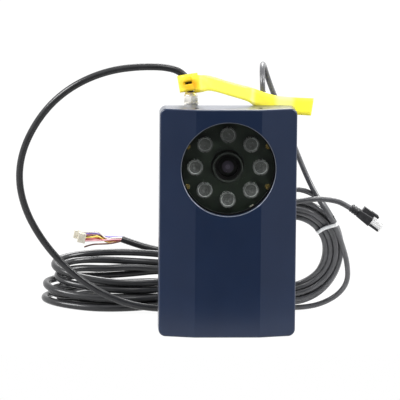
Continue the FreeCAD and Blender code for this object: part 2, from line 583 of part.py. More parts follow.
crown = [("0.7 * lens_seat", "0.75 * lens_crown"), ("0.38 * lens_seat", "0.94 * lens_crown")]
crown += [("0", "lens_crown")]
lens_profile = [(0, LENS_REAR), (LENS_EDGE, LENS_REAR), (LENS_EDGE, LENS_REAR + " + lens_edge_thick")]
lens_profile += [(reach, "%s + %s" % (LENS_REAR, rise)) for reach, rise in crown]
node(turned("lens_glass", lens_profile, 0, PLATE, WINDOW, TO_FRONT), "lens_glass")
ring_blank = turned("focus_ring_blank", [(NECK + " + running_gap", RING_START), ("lens_radius", RING_START),
                                         ("lens_radius", RING_END), (NECK + " + running_gap", RING_END)],
                    0, PLATE, WINDOW, TO_FRONT)
RING_Y = "(%s - (%s + %s) / 2)" % (PLATE, RING_START, RING_END)
ring_hole = cylinder("focus_lock_hole", "lock_pin_radius + fit_gap", "2 * ring_depth", 0, RING_Y,
                     "%s + %s" % (WINDOW, NECK))
node(cut("focus_ring", ring_blank, ring_hole), "focus_ring")
lock_pin = cylinder("lock_pin", "lock_pin_radius", "ring_depth", 0, RING_Y,
                    "%s + %s + glass_room" % (WINDOW, NECK))
lock_knob = cylinder("lock_knob", "lock_knob_radius", "lock_knob_height", 0, RING_Y,
                     "%s + lens_radius + glass_room" % WINDOW)
node(joined("focus_lock_screw", lock_pin, lock_knob), "focus_lock_screw")
SENSOR_Y = "(%s + plate_thick + mount_rear)" % PLATE
node(box("sensor_board", ("sensor_board_side", "board_thick", "sensor_board_side"),
         ("0", SENSOR_Y + " + board_thick / 2", WINDOW)), "sensor_board")
node(box("image_sensor", ("chip_width", "chip_thick", "chip_height"),
         ("0", SENSOR_Y + " - chip_thick / 2", WINDOW)), "image_sensor")


# Main board, processor with thermal pad, spacers, power board and its components
def drilled_board(label, plane):
    blank = box(label + "_blank", ("main_board_width", "board_thick", "main_board_height"),
                ("0", plane + " + board_thick / 2", CHIP_Z))
    holes = row_of(label + "_hole", "board_screw_radius + fit_gap", THROUGH_BOARD, plane + " - tap_spare",
                   MAIN_POSTS, TO_BACK)
    node(cut(label, blank, *holes), label)


drilled_board("main_board", MAIN)
node(box("processor", ("chip_side", "processor_thick", "chip_side"),
         ("0", MAIN_SEAT + " + processor_thick / 2", CHIP_Z)), "processor")
node(box("thermal_pad", ("chip_side", "pad_thick", "chip_side"),
         ("0", MAIN_SEAT + " + processor_thick + pad_thick / 2", CHIP_Z)), "thermal_pad")
pillar("board_spacers", "(main_board_setback - power_board_setback - board_thick)", "board_thick", MAIN,
       MAIN_POSTS)
drilled_board("power_board", POWER)
power_screw = screw("power_screw", "board_head_radius", "board_head_height", "board_screw_radius",
                    "board_thick + board_thread")
copies("power_board_screws", power_screw, [(x, POWER, z) for x, z in MAIN_POSTS], TO_FRONT)
POWER_ROW = CHIP_Z + " + power_row_rise"
node(box("power_transformer", ("transformer_width", "transformer_depth", "transformer_height"),
         ("transformer_x", POWER + " - transformer_depth / 2", POWER_ROW)), "power_transformer")
capacitor = cylinder("power_capacitor", "capacitor_radius", "capacitor_length", 0, 0, 0)
copies("power_capacitors", capacitor, [("capacitor_x + %d * capacitor_pitch" % step, POWER, POWER_ROW)
                                       for step in range(3)], TO_FRONT)
header = box("board_header", ("header_width", "header_height", "header_depth"),
             ("0", "0", "header_depth / 2"))
copies("board_headers", header, [(x, POWER, CHIP_Z + " + header_rise") for x in ("-header_x", "header_x")],
       TO_FRONT)


# Cable glands: hex body with collar and threaded neck, dome nut, seal insert and locknut
def gland(side, x, cable):
    thread = cylinder("gland_thread_" + side, "gland_thread_radius", "wall + gland_inner_thread", x,
                      "gland_y", PLATFORM + " - wall - gland_inner_thread")
    hexes = hexagon("gland_hex_" + side, "gland_flats", "gland_hex_height", x, "gland_y", PLATFORM)
    collar = cylinder("gland_collar_" + side, "gland_flats / 2 + gland_collar_proud", "gland_collar_height",
                      x, "gland_y", PLATFORM + " + gland_hex_height")
    neck = cylinder("gland_neck_" + side, "gland_thread_radius", "gland_neck_height", x, "gland_y",
                    COLLAR_TOP)
    gland_solid = joined("gland_turned_" + side, thread, hexes, collar, neck)
    bore = cylinder("gland_bore_" + side, cable + " + seal_wall", "cover_height", x, "gland_y",
                    PLATFORM + " - cover_height / 2")
    node(cut("gland_body_" + side, gland_solid, bore), "gland_body_" + side)
    nut_hex = hexagon("dome_hex_" + side, "gland_flats - 4 * fit_gap", "dome_height - dome_round", x,
                      "gland_y", COLLAR_TOP)
    dome = cone("dome_top_" + side, "gland_flats / 2 - 4 * fit_gap", cable + " + 1.5 * seal_wall",
                "dome_round", x, "gland_y", COLLAR_TOP + " + dome_height - dome_round")
    nut_room = cylinder("dome_room_" + side, "gland_thread_radius + fit_gap",
                        "gland_neck_height + 2 * fit_gap", x, "gland_y", COLLAR_TOP)
    nut_bore = cylinder("dome_bore_" + side, cable + " + 3 * fit_gap", "2 * dome_height", x, "gland_y",
                        COLLAR_TOP)
    node(cut("gland_nut_" + side, joined("dome_turned_" + side, nut_hex, dome), nut_room, nut_bore),
         "gland_nut_" + side)
    rubber = cylinder("insert_outer_" + side, cable + " + seal_wall", "seal_length", x, "gland_y",
                      COLLAR_TOP + " + gland_neck_height - seal_length")
    rubber_bore = cylinder("insert_bore_" + side, cable, "2 * seal_length", x, "gland_y",
                           COLLAR_TOP + " + gland_neck_height - 1.5 * seal_length")
    node(cut("gland_seal_" + side, rubber, rubber_bore), "gland_seal_" + side)
    lock_hex = hexagon("lock_hex_" + side, "locknut_flats", "locknut_height", x, "gland_y",
                       PLATFORM + " - wall - locknut_height")
    lock_bore = cylinder("lock_bore_" + side, "gland_thread_radius + fit_gap / 2", "2 * locknut_height", x,
                         "gland_y", PLATFORM + " - wall - 1.5 * locknut_height")
    node(cut("gland_locknut_" + side, lock_hex, lock_bore), "gland_locknut_" + side)


def cable_entry(label, radius, x):
    inside = PLATFORM + " - wall - entry_tail"
    node(cylinder(label, radius, "entry_rise + wall + entry_tail", x, "gland_y", inside), label)


gland("left", "-gland_x", "main_cable_radius")
gland("right", "gland_x", "network_cable_radius")
cable_entry("main_cable_entry", "main_cable_radius", "-gland_x")
cable_entry("network_cable_entry", "network_cable_radius", "gland_x")


# Cords: straight runs joined by tangent arcs
def cord_path(label, points):
    corners = [FreeCAD.Vector(*point) for point in points]
    edges = []
    radii = []
    start = corners[0]
    for before, corner, after in zip(corners, corners[1:], corners[2:]):
        toward = (corner - before).normalize()
        away = (after - corner).normalize()
        half_turn = toward.getAngle(away) / 2
        trim = 0.45 * min((corner - before).Length, (after - corner).Length)
        radii.append(trim / math.tan(half_turn))
        enter = corner - toward * trim
        leave = corner + away * trim
        bisector = (away - toward).normalize()
        centre = corner + bisector * (trim / math.sin(half_turn))
        middle = centre - bisector * radii[-1]
        edges.append(Part.LineSegment(start, enter).toShape())
        edges.append(Part.Arc(enter, middle, leave).toShape())
        start = leave
    edges.append(Part.LineSegment(start, corners[-1]).toShape())
    print(label, "bend radii", [round(radius, 1) for radius in radii])
    return Part.Wire(edges)


def tube_along(label, points, radius):
    path = cord_path(label, points)
    first = path.OrderedEdges[0]
    heading = first.tangentAt(first.FirstParameter)
    section = Part.Wire(Part.Circle(FreeCAD.Vector(*points[0]), heading, radius).toShape())
    tube = path.makePipeShell([section], True, False)
    print(label, "volume ratio", round(tube.Volume / (math.pi * radius ** 2 * path.Length), 4))
    return tube


def shaped(label, shape):
    item = doc.addObject("Part::Feature", label)
    item.Shape = shape
    return node(item, label)


def cord(label, points, radius, trims=()):
    tube = tube_along(label, points, radius)
    for neighbour in trims:
        tube = tube.cut(neighbour)
    return shaped(label, max(tube.Solids, key=lambda solid: solid.Volume))


def coil_shape(long_half, short_half, band, height, soft_edge, placement):
    middle = FreeCAD.Vector(0, 0, -height / 2)
    faces = []
    for less in (0, band):
        rim = Part.Ellipse(middle, long_half - less, short_half - less).toShape()
        faces.append(Part.Face(Part.Wire(rim)))
    lift = FreeCAD.Vector(0, 0, height)
    ring = faces[0].extrude(lift).cut(faces[1].extrude(lift))
    rims = [edge for edge in ring.Edges if edge.Curve.TypeId == "Part::GeomEllipse"]
    ring = ring.makeFillet(soft_edge, rims)
    ring.Placement = placement
    return ring


# Main cable: loose coil on the floor, lead from the left gland, stripped end with wires and connectors
main_r = value("main_cable_radius")
coil_x = value("main_coil_x")
coil_y = value("main_coil_y")
coil_height = value("main_coil_height")
coil_round = value("coil_round")
main_place = FreeCAD.Placement(FreeCAD.Vector(coil_x, coil_y, coil_height / 2), UP)
main_coil = coil_shape(value("main_coil_long"), value("main_coil_short"), value("main_coil_band"),
                       coil_height, coil_round, main_place)
shaped("main_cable_coil", main_coil)
gland_x = value("gland_x")
gland_y = value("gland_y")
top = value(GLAND_TOP)
entry = value(PLATFORM + " + entry_rise")
main_lead = [(-gland_x, gland_y, entry), (-gland_x, gland_y, top + 2)]
main_lead += [(-gland_x - 4.5, gland_y + 0.5, top + 15.5), (-gland_x - 18.5, gland_y + 1.8, top + 24.5)]
main_lead += [(-gland_x - 50.5, gland_y + 4.5, top + 25.2), (-119.5, 17, top + 20.2)]
main_lead += [(-149.5, 20.5, 251.5), (-174.5, 26, 232), (-193.5, 33, 206), (-206, 39.5, 176.5)]
main_lead += [(-209, 48, 145.5), (-202, 56.5, 114.5), (-187.5, 64, 86), (-168.5, 70.5, 60.5)]
main_lead += [(-145.5, 76.5, 38), (-118.5, 81, 20), (-88, 83.5, 8.5), (-56, 89, 4.5), (-30, 100.5, 3.9)]
main_lead += [(-15, 114.5, 3.9)]
lead_cord = cord("main_cable_lead", main_lead, main_r, [main_coil])
jacket_end = (-97, 214, 53.5)
main_tail = [(-38, 199, 33), (-56, 205, 39.5), (-78, 210.5, 47), jacket_end]
tail_cord = cord("main_cable_tail", main_tail, main_r, [main_coil])

# Two small connector housings, slanted as they hang on the wires
CONNECTORS = [((7, 6, 8.6), (-143.7, 217, 58.2)), ((8, 6, 10), (-139.2, 209.5, 55.8))]
SLANT = FreeCAD.Rotation(Y_AXIS, 12)
housings = []
for size, middle in CONNECTORS:
    housing = Part.makeBox(*size, FreeCAD.Vector(*size) * -0.5)
    housing.Placement = FreeCAD.Placement(FreeCAD.Vector(*middle), SLANT)
    housings.append(housing)
shaped("wire_connectors", Part.makeCompound(housings))
wire_r = value("wire_radius")
WIRES_EACH = 4
WIRE_PITCH = 1.8
wires = []
for number in range(len(CONNECTORS) * WIRES_EACH):
    size, middle = CONNECTORS[number // WIRES_EACH]
    spot = number % WIRES_EACH
    angle = math.radians(45 * number)
    start = (jacket_end[0] + 1.5, jacket_end[1] + 2 * math.cos(angle), jacket_end[2] + 2 * math.sin(angle))
    bow = 1.5 + 1.2 * spot
    drop = FreeCAD.Vector(size[0] / 2, 0, WIRE_PITCH * (spot - 1.5))
    finish = FreeCAD.Vector(*middle) + SLANT.multVec(drop)
    halfway = (start[1] + finish.y) / 2
    runs = [start, (start[0] - 12, start[1], start[2] + 0.5 * bow), (start[0] - 25, halfway, finish.z + bow),
            (start[0] - 33, finish.y, finish.z + 0.3), tuple(finish)]
    tube = tube_along("signal_wire_%d" % (number + 1), runs, wire_r)
    for neighbour in housings + [tail_cord.Shape]:
        tube = tube.cut(neighbour)
    wires.append(tube)
shaped("signal_wires", Part.makeCompound(wires))

# Network cable: leaning coil behind the housing, lead over the right gland, loose turn, tail and plug
net_r = value("network_cable_radius")
lean = math.radians(value("network_coil_lean"))
long_half = value("network_coil_long")
short_half = value("network_coil_short")
band = value("network_coil_band")
thick = value("network_coil_thick")
net_z = long_half * math.cos(lean) + thick / 2 * math.sin(lean) + 2 * net_r - coil_round / 2
up_slope = FreeCAD.Vector(0, -math.sin(lean), math.cos(lean))
net_turn = FreeCAD.Rotation(up_slope, X_AXIS, X_AXIS.cross(up_slope) * -1, "XYZ")
net_place = FreeCAD.Placement(FreeCAD.Vector(value("network_coil_x"), value("network_coil_y"), net_z),
                              net_turn)
net_coil = coil_shape(long_half, short_half, band, thick, coil_round, net_place)
shaped("network_cable_coil", net_coil)


def on_coil(degrees):
    angle = math.radians(degrees)
    reach = long_half - band / 2
    width = short_half - band / 2
    return FreeCAD.Vector(reach * math.cos(angle), width * math.sin(angle), 0)


# Tie round the coil's band: a slice of a slightly larger coil
skin = value("tie_thick")
tie_width = value("tie_width")
spare = 10
tie_slice = Part.makeBox(band + 2 * spare, tie_width, thick + 2 * spare,
                         FreeCAD.Vector(-band / 2 - spare, -tie_width / 2, -thick / 2 - spare))
tie_turn = FreeCAD.Rotation(Z_AXIS, value("tie_angle") + 6)
tie_slice.Placement = net_place * FreeCAD.Placement(on_coil(value("tie_angle")), tie_turn)
around = coil_shape(long_half + skin, short_half + skin, band + 2 * skin, thick + 2 * skin,
                    coil_round + skin, net_place)
shaped("coil_tie", around.common(tie_slice).cut(net_coil))
net_lead = [(gland_x, gland_y, entry), (gland_x, gland_y, top + 10)]
net_lead += [(gland_x + 0.5, gland_y + 14, top + 24), (gland_x + 3, gland_y + 34, top + 24)]
net_lead += [(gland_x + 7, gland_y + 48, top + 10), (50, 58, 235), (61.5, 57, 207.5), (72.5, 57.5, 178)]
net_lead += [(85, 58.5, 147.5), (94.5, 57.5, 129), (105, 59, 111.5), (115, 63.5, 95)]
cord("network_cable_lead", net_lead, net_r, [net_coil, around])
loose_turn = [(115, 63.5, 95), (122.5, 69.5, 76), (128, 77.5, 54.5), (128.5, 87.5, 34), (120, 97.5, 18)]
loose_turn += [(103, 105.5, 7), (82, 110, 2.9), (60, 111, 2.9), (42, 107.5, 7.5), (29.5, 101, 21)]
loose_turn += [(25, 94, 40)]
cord("network_cable_loose_turn", loose_turn, net_r, [net_coil, around])
dip = math.radians(value("plug_dip"))
plug_axis = FreeCAD.Vector(math.cos(dip), 0, -math.sin(dip))
plug_start = FreeCAD.Vector(129.5, 43, 119)
cable_end = plug_start + plug_axis * (value("boot_length") - 9)
net_tail = [tuple(net_place.multVec(on_coil(-60))), (38, 60, 108), (48, 51, 118), (62, 46, 124.5)]
net_tail += [(80, 43.3, 128.8), (98, 43, 129.8), (112, 43, 127.5)]
net_tail += [tuple(plug_start - plug_axis * 9), tuple(cable_end)]
cord("network_cable_tail", net_tail, net_r, [net_coil])

# Boot and plug at the end of the network cable, along the plug's own axis
PLUG_PLACE = FreeCAD.Placement(plug_start, FreeCAD.Rotation(Y_AXIS, value("plug_dip")))
LENGTHWISE = FreeCAD.Rotation(Y_AXIS, 90)


def along_plug(item, start, turn=UP):
    spot = FreeCAD.Vector(*[value(number) for number in start])
    item.Placement = PLUG_PLACE * FreeCAD.Placement(spot, turn)
    return item


def plug_box(name, size, start):
    item = bind(doc.addObject("Part::Box", name), Length=size[0], Width=size[1], Height=size[2])
    return along_plug(item, start)


COLLAR_RADIUS = "network_cable_radius + boot_collar_wall"
collar_steps = [(0, 0), ("%s - hood_rib" % COLLAR_RADIUS, 0)]
for ridge in range(3):
    low = "boot_collar_length * %d / 3" % ridge
    high = "boot_collar_length * (%d + 0.7) / 3" % ridge
    collar_steps += [(COLLAR_RADIUS, "%s + hood_rib" % low), (COLLAR_RADIUS, high),
                     ("%s - hood_rib" % COLLAR_RADIUS, "%s + hood_rib / 2" % high)]
collar_steps += [("%s - hood_rib" % COLLAR_RADIUS, "boot_collar_length + 1"), (0, "boot_collar_length + 1")]
boot_collar = along_plug(revolved("boot_collar", collar_steps), (0, 0, 0), LENGTHWISE)
BOOT_REST = "(boot_length - boot_collar_length)"
boot_block = bind(doc.addObject("Part::Wedge", "boot_block"), Xmin="-0.4 * boot_thick",
                  Xmax="0.4 * boot_thick", Ymin="0", Ymax=BOOT_REST, Zmin="-0.4 * boot_width",
                  Zmax="0.4 * boot_width", X2min="-boot_thick / 2", X2max="boot_thick / 2",
                  Z2min="-boot_width / 2", Z2max="boot_width / 2")
ACROSS = FreeCAD.Rotation(Z_AXIS * -1, X_AXIS, Y_AXIS * -1, "XYZ")
along_plug(boot_block, ("boot_collar_length", 0, 0), ACROSS)
doc.recompute()
boot_soft = doc.addObject("Part::Fillet", "boot_soft")
boot_soft.Base = boot_block
boot_round = value("boot_round")
boot_soft.Edges = [(number, boot_round, boot_round) for number, edge in enumerate(boot_block.Shape.Edges, 1)
                   if abs(edge.tangentAt(edge.FirstParameter).dot(plug_axis)) > 0.8]
hood = plug_box("latch_hood", (BOOT_REST + " - 2 + hood_over", "hood_width", "hood_thick"),
                ("boot_collar_length + 2", "-hood_width / 2",
                 "boot_thick / 2 + latch_thick + latch_gap / 2"))
hood_root = plug_box("hood_root", (BOOT_REST + " - 2", "hood_width",
                                   "latch_thick + latch_gap + hood_thick / 2"),
                     ("boot_collar_length + 2", "-hood_width / 2", "boot_thick / 2 - latch_gap / 2"))
hood_ribs = [plug_box("hood_rib_%d" % step, ("hood_rib", "hood_width", "hood_rib"),
                      ("boot_length - 2.4 * %d * hood_rib + hood_over / 2" % step, "-hood_width / 2",
                       "boot_thick / 2 + latch_thick + latch_gap / 2 + hood_thick")) for step in range(5)]
boot_solid = joined("boot_solid", boot_collar, boot_soft, hood_root, hood, *hood_ribs)
sleeve_bore = bind(doc.addObject("Part::Cylinder", "boot_bore"), Radius="network_cable_radius",
                   Height="boot_length - 9")
along_plug(sleeve_bore, (0, 0, 0), LENGTHWISE)
node(cut("plug_boot", boot_solid, sleeve_bore), "plug_boot")
plug_block = plug_box("plug_block", ("plug_length", "plug_width", "plug_thick"),
                      ("boot_length", "-plug_width / 2", "-plug_thick / 2"))
NOSE = "boot_length + plug_length"
latch_root = plug_box("latch_root", ("1.6 * latch_thick", "latch_width", "latch_gap + latch_thick / 2"),
                      (NOSE + " - 2 * latch_thick", "-latch_width / 2", "plug_thick / 2 - latch_thick / 4"))
latch_arm = plug_box("latch_arm", ("plug_length - 2 * latch_thick", "latch_width", "latch_thick"),
                     ("boot_length + 1.6 * latch_thick", "-latch_width / 2",
                      "plug_thick / 2 + latch_gap / 2"))
CONTACTS = 8
slots = []
blades = []
for step in range(CONTACTS):
    middle = "contact_pitch * (%d - 3.5)" % step
    slots.append(plug_box("contact_slot_%d" % step, ("6", "contact_pitch / 2", "1.4"),
                          (NOSE + " - 5.8", middle + " - contact_pitch / 4", "-plug_thick / 2 - 0.2")))
    blades.append(plug_box("contact_blade_%d" % step, ("5.6", "contact_pitch * 0.4", "1"),
                           (NOSE + " - 5.7", middle + " - contact_pitch / 5", "-plug_thick / 2 + 0.15")))
node(cut("plug_body", joined("plug_moulding", plug_block, latch_root, latch_arm), *slots), "plug_body")
contacts = doc.addObject("Part::Compound", "plug_contacts")
contacts.Links = blades
node(contacts, "plug_contacts")

# Identification tag: loop round the main cable with a slot, long tail to the right
tag_t = value("tag_thick")
tag_h = value("tag_height")
loop_radius = value("tag_loop_radius")
loop_mid = FreeCAD.Vector(-gland_x - 0.7, gland_y, top + 9.2)
loop_place = FreeCAD.Placement(loop_mid, FreeCAD.Rotation(Y_AXIS, -value("tag_lean")))
foot = FreeCAD.Vector(0, 0, -tag_h / 2)
loop = Part.makeCylinder(loop_radius, tag_h, foot).cut(Part.makeCylinder(loop_radius - tag_t, tag_h, foot))
slot_corner = FreeCAD.Vector(-4, -1.4 * loop_radius, 0)
slot = Part.makeBox(value("tag_slot_width"), 0.8 * loop_radius, value("tag_slot_height"), slot_corner)
wrap = loop.cut(slot)
wrap.Placement = loop_place
# Stations of the tail's centre line: place, lean back in degrees, sideways shift from foot to head
front_y = gland_y - loop_radius + tag_t / 2
stations = [(-gland_x + 1.5, front_y + 0.3, top + 9.2, 0, -3.4), (-27.5, front_y + 0.6, top + 9.8, 20, -1.5)]
stations += [(-17, front_y - 0.7, top + 10.3, 42, 0), (4, front_y - 1.4, top + 4.4, 45, 0)]
stations += [(20, front_y - 1.9, top - 0.2, 40, 0), (28, front_y - 2.4, top - 3.9, 16, 0)]
stations += [(47, front_y - 0.9, top - 10.5, 5, 0), (64, front_y + 1.1, top - 12.8, 0, 0)]
stations += [(84.5, front_y + 4.1, top - 14.3, 0, 2)]
sections = []
for x, y, z, lean_back, shift in stations:
    tilt = math.radians(lean_back)
    middle = FreeCAD.Vector(x, y, z)
    up_tag = FreeCAD.Vector(shift / 2, tag_h / 2 * math.sin(tilt), tag_h / 2 * math.cos(tilt))
    half = FreeCAD.Vector(0, tag_t / 2 * math.cos(tilt), -tag_t / 2 * math.sin(tilt))
    low = middle - up_tag
    high = middle + up_tag
    sections.append(Part.makePolygon([low - half, low + half, high + half, high - half, low - half]))
tail = Part.makeLoft(sections, True, False)
shaped("cable_tag", wrap.fuse(tail).removeSplitter().cut(lead_cord.Shape))

# Check every piece and write it
doc.recompute()
for item in doc.Objects:
    if "Invalid" in item.State or "Error" in item.State:
        raise RuntimeError("not computed: " + item.Label)
for item in NODES:
    if item.Shape.isNull() or not item.Shape.isValid() or not item.Shape.Solids:
        raise RuntimeError("no valid solid: " + item.Label)
    item.Shape.exportStep("parts/%s.step" % item.Label)
print(len(NODES), "pieces written")
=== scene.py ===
import bpy
import json
import math
from mathutils import Matrix, Vector


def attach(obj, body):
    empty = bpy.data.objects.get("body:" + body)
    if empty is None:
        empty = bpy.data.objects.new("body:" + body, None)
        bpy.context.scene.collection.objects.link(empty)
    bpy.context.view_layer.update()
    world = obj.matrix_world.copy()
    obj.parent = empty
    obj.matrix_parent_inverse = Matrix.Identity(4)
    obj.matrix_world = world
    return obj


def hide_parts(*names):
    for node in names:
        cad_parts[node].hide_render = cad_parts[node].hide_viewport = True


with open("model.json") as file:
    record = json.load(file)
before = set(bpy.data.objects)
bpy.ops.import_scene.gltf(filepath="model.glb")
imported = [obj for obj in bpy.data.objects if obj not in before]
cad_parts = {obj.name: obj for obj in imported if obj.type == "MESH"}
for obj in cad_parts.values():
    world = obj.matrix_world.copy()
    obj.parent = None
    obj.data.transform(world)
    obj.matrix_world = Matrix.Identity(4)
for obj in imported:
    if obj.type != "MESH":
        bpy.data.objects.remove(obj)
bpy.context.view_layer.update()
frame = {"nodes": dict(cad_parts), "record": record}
scene = bpy.context.scene
scene.view_settings.view_transform = "Standard"

# Shapes are laid out in millimetres.
MM = 0.001
FRONT_Y = -36
LENS_HEIGHT = 172

# Camera at the photograph's viewing angle, far away and nearly without perspective
AZIMUTH, ELEVATION, ROLL = math.radians(-3), math.radians(10.5), math.radians(-0.5)
TARGET = Vector((0, -0.036, 0.1165))
EYE_DISTANCE = 6
MOVE_LEFT, MOVE_UP = 0.02841, 0.0245
right = Vector((math.cos(AZIMUTH), math.sin(AZIMUTH), 0))
back = Vector((math.sin(AZIMUTH) * math.cos(ELEVATION),
               -math.cos(AZIMUTH) * math.cos(ELEVATION), math.sin(ELEVATION)))
up = back.cross(right)
across = math.cos(ROLL) * right - math.sin(ROLL) * up
upward = math.sin(ROLL) * right + math.cos(ROLL) * up
eye = TARGET + back * EYE_DISTANCE - across * MOVE_LEFT + upward * MOVE_UP
camera = bpy.data.objects.new("camera", bpy.data.cameras.new("camera"))
camera.data.lens = 537.84
camera.data.sensor_width = 36
camera.data.clip_end = 50
camera.matrix_world = Matrix(((across.x, upward.x, back.x, eye.x),
                              (across.y, upward.y, back.y, eye.y),
                              (across.z, upward.z, back.z, eye.z), (0, 0, 0, 1)))
scene.collection.objects.link(camera)
scene.camera = camera


# Materials

# Noise keeps mostly between these two values
NOISE_LOW, NOISE_HIGH = 0.3, 0.7
# Patches of roughness are finer than patches of colour
ROUGH_FINER = 2.3


def feed(tree, value, socket):
    """Give a socket a number, or link it to another node's output."""
    if isinstance(value, (int, float)):
        socket.default_value = value
    else:
        tree.links.new(value, socket)


def calculate(tree, operation, *values):
    node = tree.nodes.new("ShaderNodeMath")
    node.operation = operation
    for value, socket in zip(values, node.inputs):
        feed(tree, value, socket)
    return node.outputs["Value"]


def any_of(tree, *kinds):
    """One where the ray is of any of the given kinds."""
    path = tree.nodes.new("ShaderNodeLightPath")
    total = path.outputs[kinds[0]]
    for kind in kinds[1:]:
        total = calculate(tree, "MAXIMUM", total, path.outputs[kind])
    return total


def on_object(tree):
    return tree.nodes.new("ShaderNodeTexCoord").outputs["Object"]


def mapped(tree, scale, location=(0, 0, 0)):
    """Place on the object, scaled and then moved."""
    node = tree.nodes.new("ShaderNodeMapping")
    node.inputs["Scale"].default_value = scale
    node.inputs["Location"].default_value = location
    tree.links.new(on_object(tree), node.inputs["Vector"])
    return node.outputs["Vector"]


def distance(tree, scale, location):
    """Distance from the origin of a mapped place."""
    node = tree.nodes.new("ShaderNodeVectorMath")
    node.operation = "LENGTH"
    tree.links.new(mapped(tree, scale, location), node.inputs[0])
    return node.outputs["Value"]


def ramp(tree, source, stops):
    node = tree.nodes.new("ShaderNodeValToRGB")
    while len(node.color_ramp.elements) < len(stops):
        node.color_ramp.elements.new(0.5)
    for element, (place, colour) in zip(node.color_ramp.elements, stops):
        element.position = place
        element.color = (*colour, 1)
    tree.links.new(source, node.inputs["Fac"])
    return node.outputs["Color"]


def noise(tree, scale, detail, stretch=None):
    node = tree.nodes.new("ShaderNodeTexNoise")
    node.inputs["Scale"].default_value = scale
    node.inputs["Detail"].default_value = detail
    where = mapped(tree, stretch) if stretch else on_object(tree)
    tree.links.new(where, node.inputs["Vector"])
    return node.outputs["Fac"]


def spread(tree, source, low, high, start=NOISE_LOW, end=NOISE_HIGH):
    node = tree.nodes.new("ShaderNodeMapRange")
    node.inputs["From Min"].default_value = start
    node.inputs["From Max"].default_value = end
    node.inputs["To Min"].default_value = low
    node.inputs["To Max"].default_value = high
    tree.links.new(source, node.inputs["Value"])
    return node.outputs["Result"]


def colour_with(material, colour):
    shader = material.node_tree.nodes["Principled BSDF"]
    material.node_tree.links.new(colour, shader.inputs["Base Color"])


def mix_with(material, other, share):
    """Mix a material's surface with another shader."""
    tree = material.node_tree
    mix = tree.nodes.new("ShaderNodeMixShader")
    feed(tree, share, mix.inputs["Fac"])
    tree.links.new(tree.nodes["Principled BSDF"].outputs["BSDF"], mix.inputs[1])
    tree.links.new(other.outputs[0], mix.inputs[2])
    tree.links.new(mix.outputs["Shader"], tree.nodes["Material Output"].inputs["Surface"])


def surface(name, rough, patch=60, grain=900, bump=0.1, depth=0.0001, stretch=None, **sockets):
    """A surface with uneven roughness and fine grain, its colour still to come."""
    material = bpy.data.materials.new(name)
    material.use_nodes = True
    tree = material.node_tree
    shader = tree.nodes["Principled BSDF"]
    patches = noise(tree, patch * ROUGH_FINER, 3, stretch)
    tree.links.new(spread(tree, patches, *rough), shader.inputs["Roughness"])
    if bump:
        node = tree.nodes.new("ShaderNodeBump")
        node.inputs["Strength"].default_value = bump
        node.inputs["Distance"].default_value = depth
        tree.links.new(noise(tree, grain, 2, stretch), node.inputs["Height"])
        tree.links.new(node.outputs["Normal"], shader.inputs["Normal"])
    for socket, number in sockets.items():
        shader.inputs[socket.replace("_", " ")].default_value = number
    return material


def finish(name, dark, light, rough, patch=60, stretch=None, **settings):
    """A surface with patches between two colours."""
    material = surface(name, rough, patch, stretch=stretch, **settings)
    tree = material.node_tree
    colour_with(material, ramp(tree, noise(tree, patch, 4, stretch),
                               [(NOISE_LOW, dark), (NOISE_HIGH, light)]))
    return material


def clear(name, dark, light, rough, ior, through=1.0):
    """Glass or clear plastic that lets lamp light through."""
    material = finish(name, dark, light, rough, patch=40, bump=0, Transmission_Weight=through,
                      IOR=ior)
    tree = material.node_tree
    mix_with(material, tree.nodes.new("ShaderNodeBsdfTransparent"), any_of(tree, "Is Shadow Ray"))
    return material


def ringed(material, reach, stops):
    """Colour a surface by distance from the lens axis, as a share of the reach."""
    tree = material.node_tree
    away = distance(tree, (1 / reach, 0, 1 / reach), (0, 0, -LENS_HEIGHT * MM / reach))
    colour_with(material, ramp(tree, away, stops))
    return material


def tag_film(name):
    """Yellow film that light shines through, paler at its creases, with painted shade round its
    slot.
    """
    material = surface(name, (0.3, 0.42), grain=700, bump=0.06)
    tree = material.node_tree
    axes = tree.nodes.new("ShaderNodeSeparateXYZ")
    tree.links.new(on_object(tree), axes.inputs["Vector"])
    wavy = 0.004
    along = calculate(tree, "MULTIPLY_ADD", noise(tree, 120, 3), wavy, axes.outputs["X"])
    plain, crease_edge = (1.0, 0.96, 0.14), (1.0, 0.94, 0.12)
    # Colour at each place from left to right
    stops = [(-48, (1.0, 0.9, 0.1)), (-29, (1.0, 0.87, 0.08)), (-27.5, (1.0, 0.97, 0.3)),
             (-24.5, (1.0, 0.95, 0.2)), (-19, plain), (22, plain), (25.5, (1.0, 0.98, 0.4)),
             (29, crease_edge), (46, plain), (52, (1.0, 0.99, 0.5)), (64, (1.0, 0.99, 0.45)),
             (69, crease_edge), (85, (1.0, 0.95, 0.13))]
    left, length = -50, 140
    share = spread(tree, along, 0, 1, left * MM + wavy / 2, (left + length) * MM + wavy / 2)
    colour = ramp(tree, share, [((x - left) / length, shade) for x, shade in stops])
    # Painted shade: the colour deepens to orange in a flat oval round the slot
    oval_scale, oval_shift = (92, 0, 166), (3.57, 0, -42.0)
    deepest_shade, inside, outside = 0.7, 0.5, 1.05
    from_slot = distance(tree, oval_scale, oval_shift)
    slot_shade = tree.nodes.new("ShaderNodeMix")
    slot_shade.data_type = "RGBA"
    tree.links.new(spread(tree, from_slot, deepest_shade, 0.0, inside, outside),
                   slot_shade.inputs["Factor"])
    tree.links.new(colour, slot_shade.inputs[6])
    slot_shade.inputs[7].default_value = (1.0, 0.64, 0.015, 1)
    colour = slot_shade.outputs[2]
    colour_with(material, colour)
    passed = tree.nodes.new("ShaderNodeBsdfTranslucent")
    tree.links.new(colour, passed.inputs["Color"])
    let_through = 0.5
    mix_with(material, passed, let_through)
    return material


